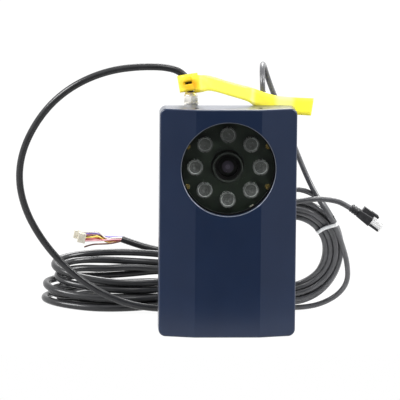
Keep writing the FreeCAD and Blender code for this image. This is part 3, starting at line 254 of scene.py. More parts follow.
FINISHES = {
    "navy_paint": dict(dark=(0.0044, 0.013, 0.04), light=(0.0054, 0.0152, 0.0455),
                       rough=(0.32, 0.4), patch=25, grain=1500, bump=0.04, IOR=1.32,
                       Coat_Weight=1.0, Coat_Roughness=0.28, Coat_IOR=1.32),
    "polished_rim": dict(dark=(0.12, 0.135, 0.17), light=(0.16, 0.175, 0.21),
                         rough=(0.4, 0.48), patch=90, grain=2000, bump=0.04, Metallic=0.8),
    "black_rubber": dict(dark=(0.008, 0.008, 0.009), light=(0.02, 0.02, 0.021),
                         rough=(0.55, 0.75)),
    "black_metal": dict(dark=(0.008, 0.008, 0.009), light=(0.016, 0.016, 0.018),
                        rough=(0.35, 0.5), patch=80, grain=1800, Metallic=0.3),
    "steel": dict(dark=(0.42, 0.42, 0.43), light=(0.6, 0.6, 0.6),
                  rough=(0.22, 0.4), patch=120, grain=2500, bump=0.08, Metallic=1.0),
    "circuit_board": dict(dark=(0.012, 0.02, 0.012), light=(0.022, 0.034, 0.021),
                          rough=(0.3, 0.42), patch=90, grain=700, bump=0.12, Coat_Weight=0.2),
    "emitter_body": dict(dark=(0.35, 0.33, 0.22), light=(0.6, 0.57, 0.4), rough=(0.3, 0.45)),
    "optic_holder": dict(dark=(0.095, 0.098, 0.095), light=(0.15, 0.153, 0.15),
                         rough=(0.2, 0.3), patch=200, grain=1500, bump=0.08),
    "optic_plastic": dict(dark=(0.075, 0.077, 0.075), light=(0.115, 0.117, 0.115),
                          rough=(0.18, 0.3), patch=200, grain=1500, bump=0.05),
    # Painted highlight: a lighter copy of the optic plastic, for the rims' walls
    "optic_wall_painted_highlight": dict(dark=(0.19, 0.195, 0.19), light=(0.28, 0.285, 0.28),
                       rough=(0.2, 0.3), patch=200, grain=1500, bump=0.05),
    "notch_shadow": dict(dark=(0.008, 0.009, 0.008), light=(0.014, 0.015, 0.014),
                         rough=(0.6, 0.75), patch=200, grain=1500, bump=0.05),
    "brass": dict(dark=(0.55, 0.38, 0.1), light=(0.85, 0.64, 0.26),
                  rough=(0.1, 0.2), patch=150, bump=0.5, depth=0.0004, Metallic=0.85),
    "pale_component": dict(dark=(0.48, 0.45, 0.37), light=(0.63, 0.6, 0.51),
                           rough=(0.3, 0.45), patch=300),
    "bare_aluminium": dict(dark=(0.5, 0.5, 0.5), light=(0.68, 0.68, 0.68), rough=(0.3, 0.5),
                           grain=1500, bump=0.15, stretch=(1, 1, 12), Metallic=1.0),
    "dark_chip": dict(dark=(0.01, 0.01, 0.011), light=(0.022, 0.022, 0.023), rough=(0.4, 0.6)),
    "grey_pad": dict(dark=(0.2, 0.2, 0.21), light=(0.3, 0.3, 0.31), rough=(0.7, 0.9)),
    "nickel_plate": dict(dark=(0.76, 0.74, 0.69), light=(0.88, 0.86, 0.81),
                         rough=(0.16, 0.28), patch=120, grain=1800, bump=0.05, Metallic=0.5),
    "main_cable_jacket": dict(dark=(0.014, 0.0145, 0.0155), light=(0.025, 0.0255, 0.0275),
                              rough=(0.18, 0.26), patch=45, grain=1600, bump=0.08,
                              Specular_IOR_Level=0.35),
    "network_cable_jacket": dict(dark=(0.066, 0.067, 0.072), light=(0.102, 0.103, 0.109),
                                 rough=(0.16, 0.24), patch=45, grain=1600, bump=0.08,
                                 Specular_IOR_Level=0.5),
    "wire_insulation": dict(dark=(0.6, 0.56, 0.45), light=(0.8, 0.76, 0.66),
                            rough=(0.35, 0.5), patch=200),
    "white_tie": dict(dark=(0.76, 0.78, 0.78), light=(0.88, 0.89, 0.89),
                      rough=(0.3, 0.42), patch=120),
    "black_boot": dict(dark=(0.018, 0.018, 0.02), light=(0.031, 0.031, 0.034),
                       rough=(0.34, 0.46), patch=120, grain=1500, bump=0.15),
}
LOOKS = {name: finish(name, **settings) for name, settings in FINISHES.items()}
LOOKS["window_glass"] = clear("window_glass", (0.93, 0.96, 0.94), (0.97, 0.99, 0.98),
                              (0.0, 0.02), 1.45)
LOOKS["clear_plug"] = clear("clear_plug", (0.78, 0.78, 0.78), (0.88, 0.88, 0.88),
                            (0.06, 0.14), 1.48, 0.5)
LOOKS["yellow_tag"] = tag_film("yellow_tag")
LENS_REACH, BARREL_REACH = 0.011, 0.02
# Painted reflections: the lens colour is lighter in the middle and in a thin ring, for the coated
# elements' reflections, and fades to black further out
LOOKS["lens_glass"] = ringed(
    surface("lens_glass", (0.02, 0.06), patch=90, bump=0, Specular_IOR_Level=0.12), LENS_REACH,
    [(0.0, (0.105, 0.092, 0.125)), (0.1, (0.046, 0.04, 0.056)), (0.16, (0.085, 0.072, 0.1)),
     (0.24, (0.036, 0.03, 0.042)), (0.5, (0.028, 0.024, 0.033)), (0.6, (0.002, 0.002, 0.002))])
# Painted highlight: a thin lighter ring near the barrel's outer edge, for its front chamfer
# catching the light
BARREL = ringed(
    surface("lens_barrel_black", (0.45, 0.6), patch=80, grain=1800, Specular_IOR_Level=0.1),
    BARREL_REACH,
    [(0.0, (0.002, 0.002, 0.002)), (0.64, (0.002, 0.002, 0.002)), (0.67, (0.021, 0.024, 0.021)),
     (0.765, (0.024, 0.027, 0.024)), (0.78, (0.006, 0.007, 0.006))])


# Shape building

def piece(name, data, slot, *nodes, looks=None):
    """Put a mesh or curve on the housing, in its slot's look, in place of the named nodes."""
    item = bpy.data.objects.new(name, data)
    scene.collection.objects.link(item)
    for material in [LOOKS[slot]] if looks is None else looks:
        data.materials.append(material)
    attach(item, "housing")
    if nodes:
        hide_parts(*nodes)
    return item


def mesh_of(name, points, faces, smooth_below=None):
    """A mesh, smooth across edges that are less sharp than the given degrees."""
    mesh = bpy.data.meshes.new(name)
    mesh.from_pydata([Vector(p) * MM for p in points], [], faces)
    mesh.validate()
    if smooth_below:
        for face in mesh.polygons:
            face.use_smooth = True
        mesh.set_sharp_from_angle(angle=math.radians(smooth_below))
    return mesh


def loft(first, rows, width, open_rows=False, open_width=False, flipped=False):
    """Faces between neighbouring rows of points, from the first point on."""
    faces = []
    for row in range(rows - 1 if open_rows else rows):
        here, after = first + row * width, first + (row + 1) % rows * width
        for side in range(width - 1 if open_width else width):
            nearby = (side + 1) % width
            if flipped:
                faces.append((here + side, here + nearby, after + nearby, after + side))
            else:
                faces.append((here + side, after + side, after + nearby, here + nearby))
    return faces


def slabs(*boxes, first=0):
    """Points and faces of closed boxes, each from its low corner and its size."""
    points, faces = [], []
    for corner, size in boxes:
        start = first + len(points)
        for x in (0, 1):
            for y in (0, 1):
                for z in (0, 1):
                    points.append((corner[0] + x * size[0], corner[1] + y * size[1],
                                   corner[2] + z * size[2]))
        for face in ((0, 1, 3, 2), (4, 6, 7, 5), (0, 4, 5, 1), (2, 3, 7, 6), (0, 2, 6, 4),
                     (1, 5, 7, 3)):
            faces.append([start + index for index in face])
    return points, faces


def round_edges(item, width):
    rounding = item.modifiers.new("edges", "BEVEL")
    rounding.width = width * MM
    rounding.segments = 2


def thicken(item, thick):
    film = item.modifiers.new("thickness", "SOLIDIFY")
    film.thickness = thick * MM
    film.offset = 0


def lines(name, radius, sides=5):
    """An empty curve for round lines of the given radius."""
    curve = bpy.data.curves.new(name, "CURVE")
    curve.dimensions = "3D"
    curve.bevel_depth = radius * MM
    curve.bevel_resolution = sides
    curve.use_fill_caps = True
    return curve


def add_line(curve, points, steps=6):
    line = curve.splines.new("NURBS")
    line.points.add(len(points) - 1)
    for point, spot in zip(line.points, points):
        point.co = (*(Vector(spot) * MM), 1)
    line.order_u = 3
    line.use_endpoint_u = True
    line.resolution_u = steps
    line.use_smooth = True
    return line


def between(a, b, c, d, t):
    """Smooth run from b to c, with a before and d after."""
    return b + 0.5 * t * (c - a + t * (2 * a - 5 * b + 4 * c - d + t * (3 * (b - c) + d - a)))


def smoothed(stations, steps, closed=False):
    """Rows of numbers between listed rows, for ribbons and bands."""
    rows = []
    count = len(stations)
    for index in range(count if closed else count - 1):
        places = [index + shift for shift in (-1, 0, 1, 2)]
        if closed:
            near_by = [stations[place % count] for place in places]
        else:
            near_by = [stations[min(max(place, 0), count - 1)] for place in places]
        for step in range(steps):
            rows.append([between(*numbers, step / steps) for numbers in zip(*near_by)])
    if not closed:
        rows.append(list(stations[-1]))
    return rows


# Main cable: lead from the left gland, loose oval coil on the floor, stripped end
MAIN_RADIUS = 3.65
MAIN_LEAD = [
    (-36.5, 9, 226), (-36.5, 9, 246), (-41, 9.5, 259.5), (-55, 10.8, 268.5), (-87, 13.5, 269.2),
    (-119.5, 17, 264.2), (-149.5, 20.5, 251.5), (-174.5, 26, 232), (-193.5, 33, 206),
    (-206, 39.5, 176.5), (-209, 48, 145.5), (-202, 56.5, 114.5), (-187.5, 64, 86),
    (-168.5, 70.5, 60.5), (-145.5, 76.5, 38), (-118.5, 81, 20), (-88, 83.5, 8.5), (-56, 89, 4.5),
    (-30, 100.5, 3.9),
]
LOOSE_X, LOOSE_Y = -89, 150
LOOSE_WIDE, LOOSE_DEEP = 0.86, 0.52
PLACES_A_TURN = 16
# Size of the turn in hundredths and height above the floor, at each place
LOOSE_TURNS = [
    (108, 4), (101, 4), (98, 3.7), (94, 3.7), (91, 4), (89, 4), (88, 4), (87, 4),
    (87, 4), (88, 4), (90, 5), (92, 6), (93, 6.5), (93, 6.5), (94, 6.3), (94, 6),
    (93, 6), (91, 7), (91, 9), (94, 11), (97, 10), (99, 8.5), (100, 7.5), (102, 6.5),
    (105, 4.6), (107, 4.5), (106, 4.4), (108, 4), (113, 3.7), (112, 5), (108, 7.5), (104, 8.5),
    (100, 9.5), (96, 13), (92, 16.5), (87, 15.5), (85, 13), (85, 11.5), (88, 11.5), (92, 11.8),
    (97, 11.8), (99, 11.5), (98, 11.3), (95, 12.5), (93, 13.6), (92, 14), (92, 13.8), (93, 14),
    (97, 15.8), (99, 20.5), (98, 22), (97, 23.5), (95, 24), (93, 19.8), (96, 18.5), (100, 20),
    (103, 20), (105, 20), (107, 18), (108, 15.5), (108, 13.8), (107, 13.3), (105, 15),
    (101, 20.5), (95, 23), (90, 22.5), (88, 25.5), (86, 27), (83, 26.6), (81, 28.3), (81, 27),
    (85, 29.5), (88, 29.5), (91, 28.5), (93, 26), (93, 24), (92, 21.8), (92, 21), (92, 21.6),
    (95, 27), (97, 30), (98, 29), (96, 30), (95, 31), (94, 32), (92, 33.3), (90, 35.8),
    (89, 37.6), (88, 37.3), (87, 35.8), (83, 33), (79, 29.5), (76.5, 26.5), (76, 25), (77, 25.5),
    (81, 28.5), (86, 32), (91, 35), (96, 37.5), (99, 39), (101, 40.5), (101, 42), (100, 42.5),
    (98, 42), (96, 41), (95, 39), (94, 36), (93, 33), (92, 30), (91.5, 28.4), (95, 30),
    (100, 34), (104, 34.5), (107, 36),
]
MAIN_TAIL = [(-3, 172.5, 37.5), (-15, 191, 38), (-33, 202.5, 39), (-52, 207.5, 41.5),
             (-78, 210.5, 47), (-97, 214, 53.5)]
main_points = list(MAIN_LEAD)
for step, (size, height) in enumerate(LOOSE_TURNS, -1):
    angle = math.tau * step / PLACES_A_TURN
    main_points.append((LOOSE_X + LOOSE_WIDE * size * math.cos(angle),
                        LOOSE_Y + LOOSE_DEEP * size * math.sin(angle), height))
main_points += MAIN_TAIL
main_curve = lines("main_cable", MAIN_RADIUS)
add_line(main_curve, main_points)
main_cable = piece("main_cable", main_curve, "main_cable_jacket", "main_cable_lead",
                   "main_cable_coil", "main_cable_tail")

# Network cable: lead from the right gland, one loose turn, leaning coil of about twelve turns,
# tail to the plug
NET_RADIUS = 2.75
NET_LEAD = [
    (36.5, 9, 226), (36.2, 9, 240), (35.7, 9, 254), (36, 23, 268), (38.5, 43, 268),
    (42.7, 57, 254), (49.6, 58, 235), (61.5, 57, 207.5), (72.5, 57.5, 178), (85, 57.5, 148),
    (94.5, 54, 129.5), (105.5, 54, 113), (115.5, 59, 95.5), (122.8, 66.5, 76), (129, 75, 55),
    (130.8, 86, 34), (122, 95, 18), (104, 99.5, 7), (83, 101.5, 2.9), (60, 105, 2.9),
    (42, 110, 7.5), (28, 108, 21), (21.5, 103, 41),
]
NET_TAIL = [(32, 62, 98), (42, 53, 110), (54, 47.5, 118.5), (68, 44.3, 123.2), (84, 43, 126.8),
            (99, 43, 128), (112, 43, 126.2), (121.6, 43, 123.2), (142, 43, 109.9)]
COIL_LEAN = math.radians(24)
COIL_MIDDLE = Vector((70, 84, 66.4))
COIL_TALL, COIL_WIDE = 64.2, 54
slope = Vector((0, -math.sin(COIL_LEAN), math.cos(COIL_LEAN)))
sideways = Vector((1, 0, 0))
through = Vector((0, math.cos(COIL_LEAN), math.sin(COIL_LEAN)))
# Place of each turn in the bundle: how far in from the outside, and how far to the back
BUNDLE = [(14, 8.4), (16.6, 3.4), (11.1, 3.4), (5.7, 3.4), (0.3, 3.4), (-0.2, -1.9), (5.4, -1.8),
          (10.9, -1.8), (16.4, -1.8), (16.3, -6.9), (10.8, -6.9), (5.3, -6.9), (-0.2, -7)]
LAST = len(BUNDLE) - 1
# Line in the bundle that the strands twist round
CORE_IN, CORE_BACK = 9, -0.5
COIL_STEPS, STEP_DEGREES, FIRST_DEGREES, TURN_DEGREES = 182, 24, 264, 230
# Share of a turn after which a strand moves over to its next place
MOVE_FROM = 0.8
TWIST, TWIST_FROM, TWIST_SPAN = math.radians(70), 75, 210
# One turn stands out from the bundle at its top
FANNED, FAN_MIDDLE, FAN_HALF, FAN_OUT = 4, 138, 42, 14
SWAY, SWAY_SHIFT = 0.4, 2.4


def in_coil(degrees, inward, backward):
    angle = math.radians(degrees)
    return (COIL_MIDDLE + slope * ((COIL_TALL - inward) * math.cos(angle))
            + sideways * ((COIL_WIDE - inward) * math.sin(angle)) + through * backward)


net_points = list(NET_LEAD)
for step in range(COIL_STEPS):
    degrees = FIRST_DEGREES + STEP_DEGREES * step
    turn, part = divmod((degrees - TURN_DEGREES) / 360, 1)
    turn = int(turn)
    here, after = BUNDLE[min(turn, LAST)], BUNDLE[min(turn + 1, LAST)]
    shift = max(0.0, (part - MOVE_FROM) / (1 - MOVE_FROM))
    shift = shift * shift * (3 - 2 * shift)
    inward = here[0] + (after[0] - here[0]) * shift - CORE_IN
    backward = here[1] + (after[1] - here[1]) * shift - CORE_BACK
    low_down = (degrees % 360 - TWIST_FROM) / TWIST_SPAN
    twist = TWIST * math.sin(math.pi * low_down) ** 2 if 0 < low_down < 1 else 0
    from_fan = part * 360 - FAN_MIDDLE
    if turn == FANNED and abs(from_fan) < FAN_HALF:
        inward -= FAN_OUT * math.cos(math.radians(from_fan * 90 / FAN_HALF)) ** 2
    sway = SWAY * math.sin(math.radians(degrees) + SWAY_SHIFT * turn)
    net_points.append(in_coil(
        degrees, CORE_IN + math.cos(twist) * inward - math.sin(twist) * backward + sway,
        CORE_BACK + math.sin(twist) * inward + math.cos(twist) * backward))
net_points += NET_TAIL
net_curve = lines("network_cable", NET_RADIUS)
add_line(net_curve, net_points)
net_cable = piece("network_cable", net_curve, "network_cable_jacket", "network_cable_lead",
                  "network_cable_loose_turn", "network_cable_coil", "network_cable_tail")

# Tie round the bundle and the lead, bowed where it shows, with its head at the back
TIE_ANGLE = 52
TIE_EDGES = (-1.9, -0.7, 0.7, 1.9)
TIE_LOOP = [(-5, -9), (-3.6, -12.8), (1, -13.4), (6, -12.6), (11, -11.4), (16.5, -10.5),
            (19.6, -8), (20.6, -2), (20.6, 5), (18.5, 10.5), (14, 11.9), (7, 8.8), (0, 6.9),
            (-2.2, 4), (-3.6, -2)]
TIE_BOW, TIE_FRONT, TIE_OUTER, TIE_SPAN = 2.6, -7, -5, 25
tie_middle = in_coil(TIE_ANGLE, CORE_IN, 0)
run = (in_coil(TIE_ANGLE + 1, CORE_IN, 0) - in_coil(TIE_ANGLE - 1, CORE_IN, 0)).normalized()
into = -run.cross(through)
points = []
tie_rows = smoothed(TIE_LOOP, 6, closed=True)
for inward, backward in tie_rows:
    spot = tie_middle + into * (inward - CORE_IN) + through * backward
    if backward < TIE_FRONT:
        spot -= run * TIE_BOW * math.sin(math.pi * (inward - TIE_OUTER) / TIE_SPAN)
    points += [spot + run * edge for edge in TIE_EDGES]
faces = loft(0, len(tie_rows), len(TIE_EDGES), open_width=True)
coil_tie = piece("coil_tie_band", mesh_of("coil_tie_band", points, faces, 50), "white_tie",
                 "coil_tie")
thicken(coil_tie, 0.9)

points, faces = slabs(((8, 11.6, -2.6), (5.4, 4.2, 5.2)), ((9.2, 12, -1.2), (1, 5.2, 2.4)))
along_tie = Matrix((into, through, run)).transposed()
head_start = Vector((CORE_IN, 2.6, 0))
points = [tie_middle + along_tie @ (Vector(p) - head_start) for p in points]
tie_head = piece("coil_tie_head", mesh_of("coil_tie_head", points, faces), "white_tie")
round_edges(tie_head, 0.5)

# Dark strips and a block along the lower side of the clear plug
PLUG_START = Vector((129.5, 43, 119))
PLUG_DIP = Matrix.Rotation(math.radians(36), 3, "Y")
points, faces = slabs(((24.7, -5.92, -4.05), (11.2, 0.9, 2.7)),
                      ((24.7, 5.02, -4.05), (11.2, 0.9, 2.7)),
                      ((24.7, -5.1, -4.05), (6.4, 10.2, 1.6)))
points = [PLUG_START + PLUG_DIP @ Vector(p) for p in points]
plug_dark_underside = piece("plug_dark_underside", mesh_of("plug_dark_underside", points, faces), "black_boot")
round_edges(plug_dark_underside, 0.3)

# Bare wires of the main cable: four to each connector, and one that hangs loose
WIRE_RADIUS = 0.85
WIRE_COLOURS = {
    "yellow": ((0.75, 0.55, 0.06), (0.9, 0.72, 0.16)),
    "red": ((0.5, 0.05, 0.06), (0.7, 0.12, 0.12)),
    "violet": ((0.16, 0.12, 0.45), (0.28, 0.22, 0.62)),
    "white": ((0.72, 0.7, 0.64), (0.86, 0.84, 0.78)),
    "brown": ((0.09, 0.035, 0.025), (0.17, 0.07, 0.05)),
    "pink": ((0.75, 0.36, 0.4), (0.88, 0.5, 0.54)),
}
# Colour of each wire, and how far it strays from its neighbours
WIRES = [("yellow", 1.2), ("red", -1), ("violet", 0.6), ("white", -1.4), ("pink", 0.5),
         ("red", 1), ("yellow", -1.6), ("brown", 1.2)]
LOOSE_WIRE = [(-95.5, 212.5, 52.3), (-106, 211, 49.5), (-118, 210.5, 49), (-129, 211.5, 48.5),
              (-136.5, 212, 45.5)]
LOOSE_COLOUR = "brown"
# Size and middle of the two connectors
CONNECTORS = [((7, 6, 8.6), (-143.7, 217, 58.2)), ((8, 6, 10), (-139.2, 209.5, 55.8))]
SLANT = Matrix.Rotation(math.radians(12), 3, "Y")
WIRE_STEPS, WIRE_RING, WIRE_PITCH = 8, 2, 1.8
JACKET_END = Vector((-95.5, 214, 53.5))
wire_looks = [finish("wire_" + name, dark, light, (0.3, 0.45), patch=250, grain=1500, bump=0.08)
              for name, (dark, light) in WIRE_COLOURS.items()]
wires = lines("signal_wires_coloured", WIRE_RADIUS, 3)
for material in wire_looks:
    wires.materials.append(material)
look_number = {name: number for number, name in enumerate(WIRE_COLOURS)}
for number, (colour, stray) in enumerate(WIRES):
    group, spot = divmod(number, 4)
    size, middle = CONNECTORS[group]
    angle = math.radians(45 * number)
    start = JACKET_END + Vector((0, WIRE_RING * math.cos(angle), WIRE_RING * math.sin(angle)))
    end = Vector(middle) + SLANT @ Vector((size[0] / 2 - 1, 0, WIRE_PITCH * (spot - 1.5)))
    bow = 0.3 + 0.4 * spot
    wire = add_line(wires, [
        start, (start.x - 9, start.y + 0.4 * stray, start.z + 0.4 * bow),
        (start.x - 18, start.y - 0.6 * stray, start.z + bow + stray - 1.6),
        (start.x - 26, (start.y + end.y) / 2 + stray, end.z + bow - 0.5 * stray),
        (start.x - 33, end.y, end.z + 0.3), end], WIRE_STEPS)
    wire.material_index = look_number[colour]
loose_wire = add_line(wires, LOOSE_WIRE, WIRE_STEPS)
loose_wire.material_index = look_number[LOOSE_COLOUR]
# The wires have their looks by now: a curve that changes once it is a piece loses its true box
signal_wires = piece("signal_wires_coloured", wires, "wire_insulation", "signal_wires", looks=[])

# Housings of the two connectors: two side walls, a sunk block between them, two short end walls
SUNK, END_WALL = 0.8, 0.5
points, faces = [], []
for (x, y, z), middle in CONNECTORS:
    wall, gap, short = y * 0.2, y * 0.6, x * 0.35
    block_points, block_faces = slabs(
        ((-x / 2, -y / 2, -z / 2), (x, wall, z)),
        ((-x / 2, gap / 2, -z / 2), (x, wall, z)),
        ((-x / 2 + SUNK, -gap / 2, -z / 2 + END_WALL), (x - SUNK, gap, z - 2 * END_WALL)),
        ((-x / 2, -gap / 2, -z / 2), (short, gap, END_WALL)),
        ((-x / 2, -gap / 2, z / 2 - END_WALL), (short, gap, END_WALL)), first=len(points))
    points += [SLANT @ Vector(p) + Vector(middle) for p in block_points]
    faces += block_faces
connectors = piece("wire_connector_housings", mesh_of("wire_connector_housings", points, faces),
                   "pale_component", "wire_connectors")
round_edges(connectors, 0.25)

# Identification tag: slotted loop round the main cable and a long tail of film
TAG_RADIUS = 10.2
TAG_MIDDLE = Vector((-38.8, 9, 253.2))
TAG_TURN = Matrix.Rotation(math.radians(-9.5), 3, "Y") @ Matrix.Rotation(math.radians(-11), 3, "X")
SLOT_LEFT, SLOT_RIGHT = math.asin(-5 / TAG_RADIUS), math.asin(4 / TAG_RADIUS)
SLOT_LOW, SLOT_HIGH = -1.7, 0.9
SLOT_COLUMNS, OTHER_COLUMNS = 8, 64
LEVELS = [-8.5, -6, -4, -2.7, SLOT_LOW, -0.85, 0, SLOT_HIGH, 3, 5.5, 8.5]
angles = [SLOT_LEFT + (SLOT_RIGHT - SLOT_LEFT) * step / SLOT_COLUMNS
          for step in range(SLOT_COLUMNS)]
angles += [SLOT_RIGHT + (math.tau + SLOT_LEFT - SLOT_RIGHT) * step / OTHER_COLUMNS
           for step in range(OTHER_COLUMNS)]
points = []
for angle in angles:
    for level in LEVELS:
        local = Vector((TAG_RADIUS * math.sin(angle), -TAG_RADIUS * math.cos(angle), level))
        points.append(TAG_MIDDLE + TAG_TURN @ local)


def in_slot(corner):
    column, row = divmod(corner, len(LEVELS))
    return column < SLOT_COLUMNS and SLOT_LOW <= LEVELS[row] < SLOT_HIGH


faces = [face for face in loft(0, len(angles), len(LEVELS), open_width=True)
         if not in_slot(face[0])]
# Middle of the tail, degrees that it leans back, and how far its top edge is past its bottom edge
TAIL = [(-35, -0.8, 253.2, 0, -3.4), (-27.5, -0.5, 253.8, 20, -1.5), (-17, -1.8, 254.3, 42, 0),
        (4, -2.5, 248.4, 45, 0), (20, -3, 243.8, 40, 0), (28, -3.5, 240.1, 16, 0),
        (47, -2, 233.5, 5, 0), (64, 0, 231.2, 0, 0), (86, 3, 229.5, 0, 2.6)]
TAIL_HALF = 8.8
TAIL_SHARES = (-1, -0.5, 0, 0.5, 1)
tail_rows = smoothed(TAIL, 8)
faces += loft(len(points), len(tail_rows), len(TAIL_SHARES), open_rows=True, open_width=True)
for x, y, z, lean_back, shift in tail_rows:
    tilt = math.radians(lean_back)
    half = Vector((shift / 2, TAIL_HALF * math.sin(tilt), TAIL_HALF * math.cos(tilt)))
    points += [Vector((x, y, z)) + half * share for share in TAIL_SHARES]
cable_tag = piece("cable_tag_film", mesh_of("cable_tag_film", points, faces, 40), "yellow_tag",
                  "cable_tag")
thicken(cable_tag, 0.3)

# Polished edge round the window, on the bevel of the painted cover
RIM_STEPS = 192
# Distance from the lens axis and depth behind the cover's face
RIM_SECTION = [(48.02, 0.05), (47.92, 0.03), (47.5, 0.42), (47.42, 1.0), (48.05, 0.6)]
FACET_FROM, FACET_SLOPE = 33, 0.25
points = []
for step in range(RIM_STEPS):
    angle = math.tau * step / RIM_STEPS
    for reach, depth in RIM_SECTION:
        x = reach * math.cos(angle)
        face_y = FRONT_Y + max(0.0, abs(x) - FACET_FROM) * FACET_SLOPE
        points.append((x, face_y + depth, LENS_HEIGHT + reach * math.sin(angle)))
faces = loft(0, RIM_STEPS, len(RIM_SECTION))
piece("window_rim", mesh_of("window_rim", points, faces, 30), "bare_aluminium",
      looks=[LOOKS["polished_rim"]])

# Painted shade: black sleeves inside the two blind holes on top, darkening them
HOLES_X, HOLE_Y = (-32, 32), -25
HOLE_SHADE_STEPS = 32
# Height and distance from the middle of the hole
HOLE_SHADE_SECTION = [(232.9, 2.36), (232.9, 2.05), (231.5, 1.95), (229, 1.95), (229, 2.36)]
points, faces = [], []
for hole_x in HOLES_X:
    faces += loft(len(points), len(HOLE_SHADE_SECTION), HOLE_SHADE_STEPS, flipped=True)
    for level, reach in HOLE_SHADE_SECTION:
        for step in range(HOLE_SHADE_STEPS):
            angle = math.tau * step / HOLE_SHADE_STEPS
            points.append((hole_x + reach * math.cos(angle), HOLE_Y + reach * math.sin(angle),
                           level))
piece("top_hole_shade", mesh_of("top_hole_shade", points, faces, 30), "black_metal")

# Eight infrared optics: a cone-shaped rim with lighter walls as a painted highlight, round a
# ringed face with a dimple, and two dark blocks of painted shadow at the holder's notches
OPTICS, OPTICS_CIRCLE, OPTIC_STEPS = 8, 33, 48
BOARD_Y = -13.7
# Distance from the optic's middle and height above the board; the first four make the rim
OPTIC_SECTION = [(6.65, 6.3), (6.68, 7.5), (6.6, 7.5), (6.1, 6.3), (5.8, 6.1), (5.2, 6.2),
                 (4.6, 6.1), (3.8, 5.85), (3.1, 5.85), (2.5, 5.95), (2.0, 5.75), (1.1, 5.5),
                 (0.4, 5.4), (0.05, 5.4), (0.05, 3), (5, 4.8)]
RIM_SIDES = 4
# Painted shadow: small dark blocks where the holder's notches are
NOTCH_SIZE, NOTCH_Y, NOTCH_OUT = (1.5, 0.6, 1.2), -21.42, 7.6
FACE_LOOK, LIT_WALL_LOOK, NOTCH_SHADOW_LOOK = 0, 1, 2
points, faces, kinds = [], [], []
for place in range(OPTICS):
    turn = math.tau * place / OPTICS
    middle_x = OPTICS_CIRCLE * math.sin(turn)
    middle_z = LENS_HEIGHT + OPTICS_CIRCLE * math.cos(turn)
    faces += loft(len(points), OPTIC_STEPS, len(OPTIC_SECTION), flipped=True)
    kinds += [LIT_WALL_LOOK if side < RIM_SIDES else FACE_LOOK
              for side in range(len(OPTIC_SECTION))] * OPTIC_STEPS
    for step in range(OPTIC_STEPS):
        angle = math.tau * step / OPTIC_STEPS
        for reach, height in OPTIC_SECTION:
            points.append((middle_x + reach * math.cos(angle), BOARD_Y - height,
                           middle_z + reach * math.sin(angle)))
    notches = [((middle_x - NOTCH_SIZE[0] / 2, NOTCH_Y,
                 middle_z + sign * NOTCH_OUT - NOTCH_SIZE[2] / 2), NOTCH_SIZE)
               for sign in (-1, 1)]
    notch_points, notch_faces = slabs(*notches, first=len(points))
    points += notch_points
    faces += notch_faces
    kinds += [NOTCH_SHADOW_LOOK] * len(notch_faces)
optics_mesh = mesh_of("infrared_optics", points, faces, 30)
piece("infrared_optics", optics_mesh, "optic_plastic", "light_optics",
      looks=[LOOKS["optic_plastic"], LOOKS["optic_wall_painted_highlight"], LOOKS["notch_shadow"]])
for face, kind in zip(optics_mesh.polygons, kinds):
    face.material_index = kind

# Daylight sensor: a small pale part that stands askew on the board
SENSOR_PLACE = Vector((24.7, -13.75, 131.7))
ASKEW = Matrix.Rotation(math.radians(-33), 3, "Y")
points, faces = slabs(((-2.1, -1.6, -0.7), (4.2, 1.6, 1.4)), ((-1.2, -2.3, -0.5), (2.6, 1, 1.0)))
points = [SENSOR_PLACE + ASKEW @ Vector(p) for p in points]
daylight = piece("daylight_sensor_part", mesh_of("daylight_sensor_part", points, faces),
                 "pale_component", "light_sensor")
round_edges(daylight, 0.3)


# Lamps, world and floor

LAMP_AIM = Vector((0, 0, 0.1))


def lamp(name, place, size, power):
    light = bpy.data.lights.new(name, "AREA")
    light.shape = "DISK"
    light.size = size
    light.energy = power
    item = bpy.data.objects.new(name, light)
    item.location = place
    item.rotation_euler = (LAMP_AIM - Vector(place)).to_track_quat("-Z", "Y").to_euler()
    scene.collection.objects.link(item)


lamp("left", (-2.35, -0.48, 1.7), 1.4, 93)
lamp("right", (2.35, -0.48, 1.6), 1.4, 83)
lamp("rear", (0.3, 1.8, 2.0), 1.4, 57)
lamp("top", (0.3, -1.3, 2.9), 1.0, 25)

# White to the camera, even light on the object, and in reflections dark ahead and white elsewhere
PLAIN_LIGHT, WHITE = 0.58, 1.0
AHEAD, ELSEWHERE = 0.03, 1.2
AHEAD_TO, ELSEWHERE_FROM = -0.97, -0.6


def either(tree, share, first, second):
    """From the first number or output to the second, by a share from 0 to 1."""
    node = tree.nodes.new("ShaderNodeMix")
    feed(tree, share, node.inputs["Factor"])
    feed(tree, first, node.inputs["A"])
    feed(tree, second, node.inputs["B"])
    return node.outputs["Result"]


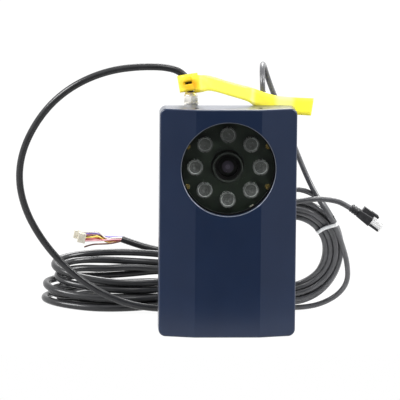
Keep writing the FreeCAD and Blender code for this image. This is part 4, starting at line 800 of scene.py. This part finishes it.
world = bpy.data.worlds.new("studio")
scene.world = world
world.use_nodes = True
tree = world.node_tree
axes = tree.nodes.new("ShaderNodeSeparateXYZ")
tree.links.new(tree.nodes.new("ShaderNodeTexCoord").outputs["Generated"], axes.inputs["Vector"])
reflected = spread(tree, axes.outputs["Y"], AHEAD, ELSEWHERE, AHEAD_TO, ELSEWHERE_FROM)
mirrored = any_of(tree, "Is Glossy Ray", "Is Transmission Ray")
on_part = either(tree, mirrored, PLAIN_LIGHT, reflected)
ground = tree.nodes["Background"]
ground.inputs["Color"].default_value = (1, 1, 1, 1)
tree.links.new(either(tree, any_of(tree, "Is Camera Ray"), on_part, WHITE),
               ground.inputs["Strength"])

FLOOR_SIDE, FLOOR_FRONT, FLOOR_BACK, FLOOR_Z = 3000, -112, 4000, -0.2
FLOOR_GLOW, GLOW_SHARE = 1.03, 0.94
floor_corners = [(-FLOOR_SIDE, FLOOR_FRONT, FLOOR_Z), (FLOOR_SIDE, FLOOR_FRONT, FLOOR_Z),
                 (FLOOR_SIDE, FLOOR_BACK, FLOOR_Z), (-FLOOR_SIDE, FLOOR_BACK, FLOOR_Z)]
floor = bpy.data.objects.new("floor", mesh_of("floor", floor_corners, [(0, 1, 2, 3)]))
scene.collection.objects.link(floor)
paper = finish("paper", (0.8, 0.8, 0.8), (0.84, 0.84, 0.84), (0.8, 0.95), patch=3, grain=300,
               bump=0.05)
tree = paper.node_tree
glow = tree.nodes.new("ShaderNodeEmission")
glow.inputs["Strength"].default_value = FLOOR_GLOW
seen = any_of(tree, "Is Camera Ray", "Is Glossy Ray", "Is Transmission Ray")
mix_with(paper, glow, calculate(tree, "MULTIPLY", seen, GLOW_SHARE))
floor.data.materials.append(paper)

# Looks of the frame's own solids, by their slots in the record
slot_of = {part["node"]: part["material_slot"] for part in frame["record"]["subparts"]}
for node_name, item in frame["nodes"].items():
    item.data.materials.clear()
    item.data.materials.append(BARREL if node_name == "lens_barrel" else LOOKS[slot_of[node_name]])
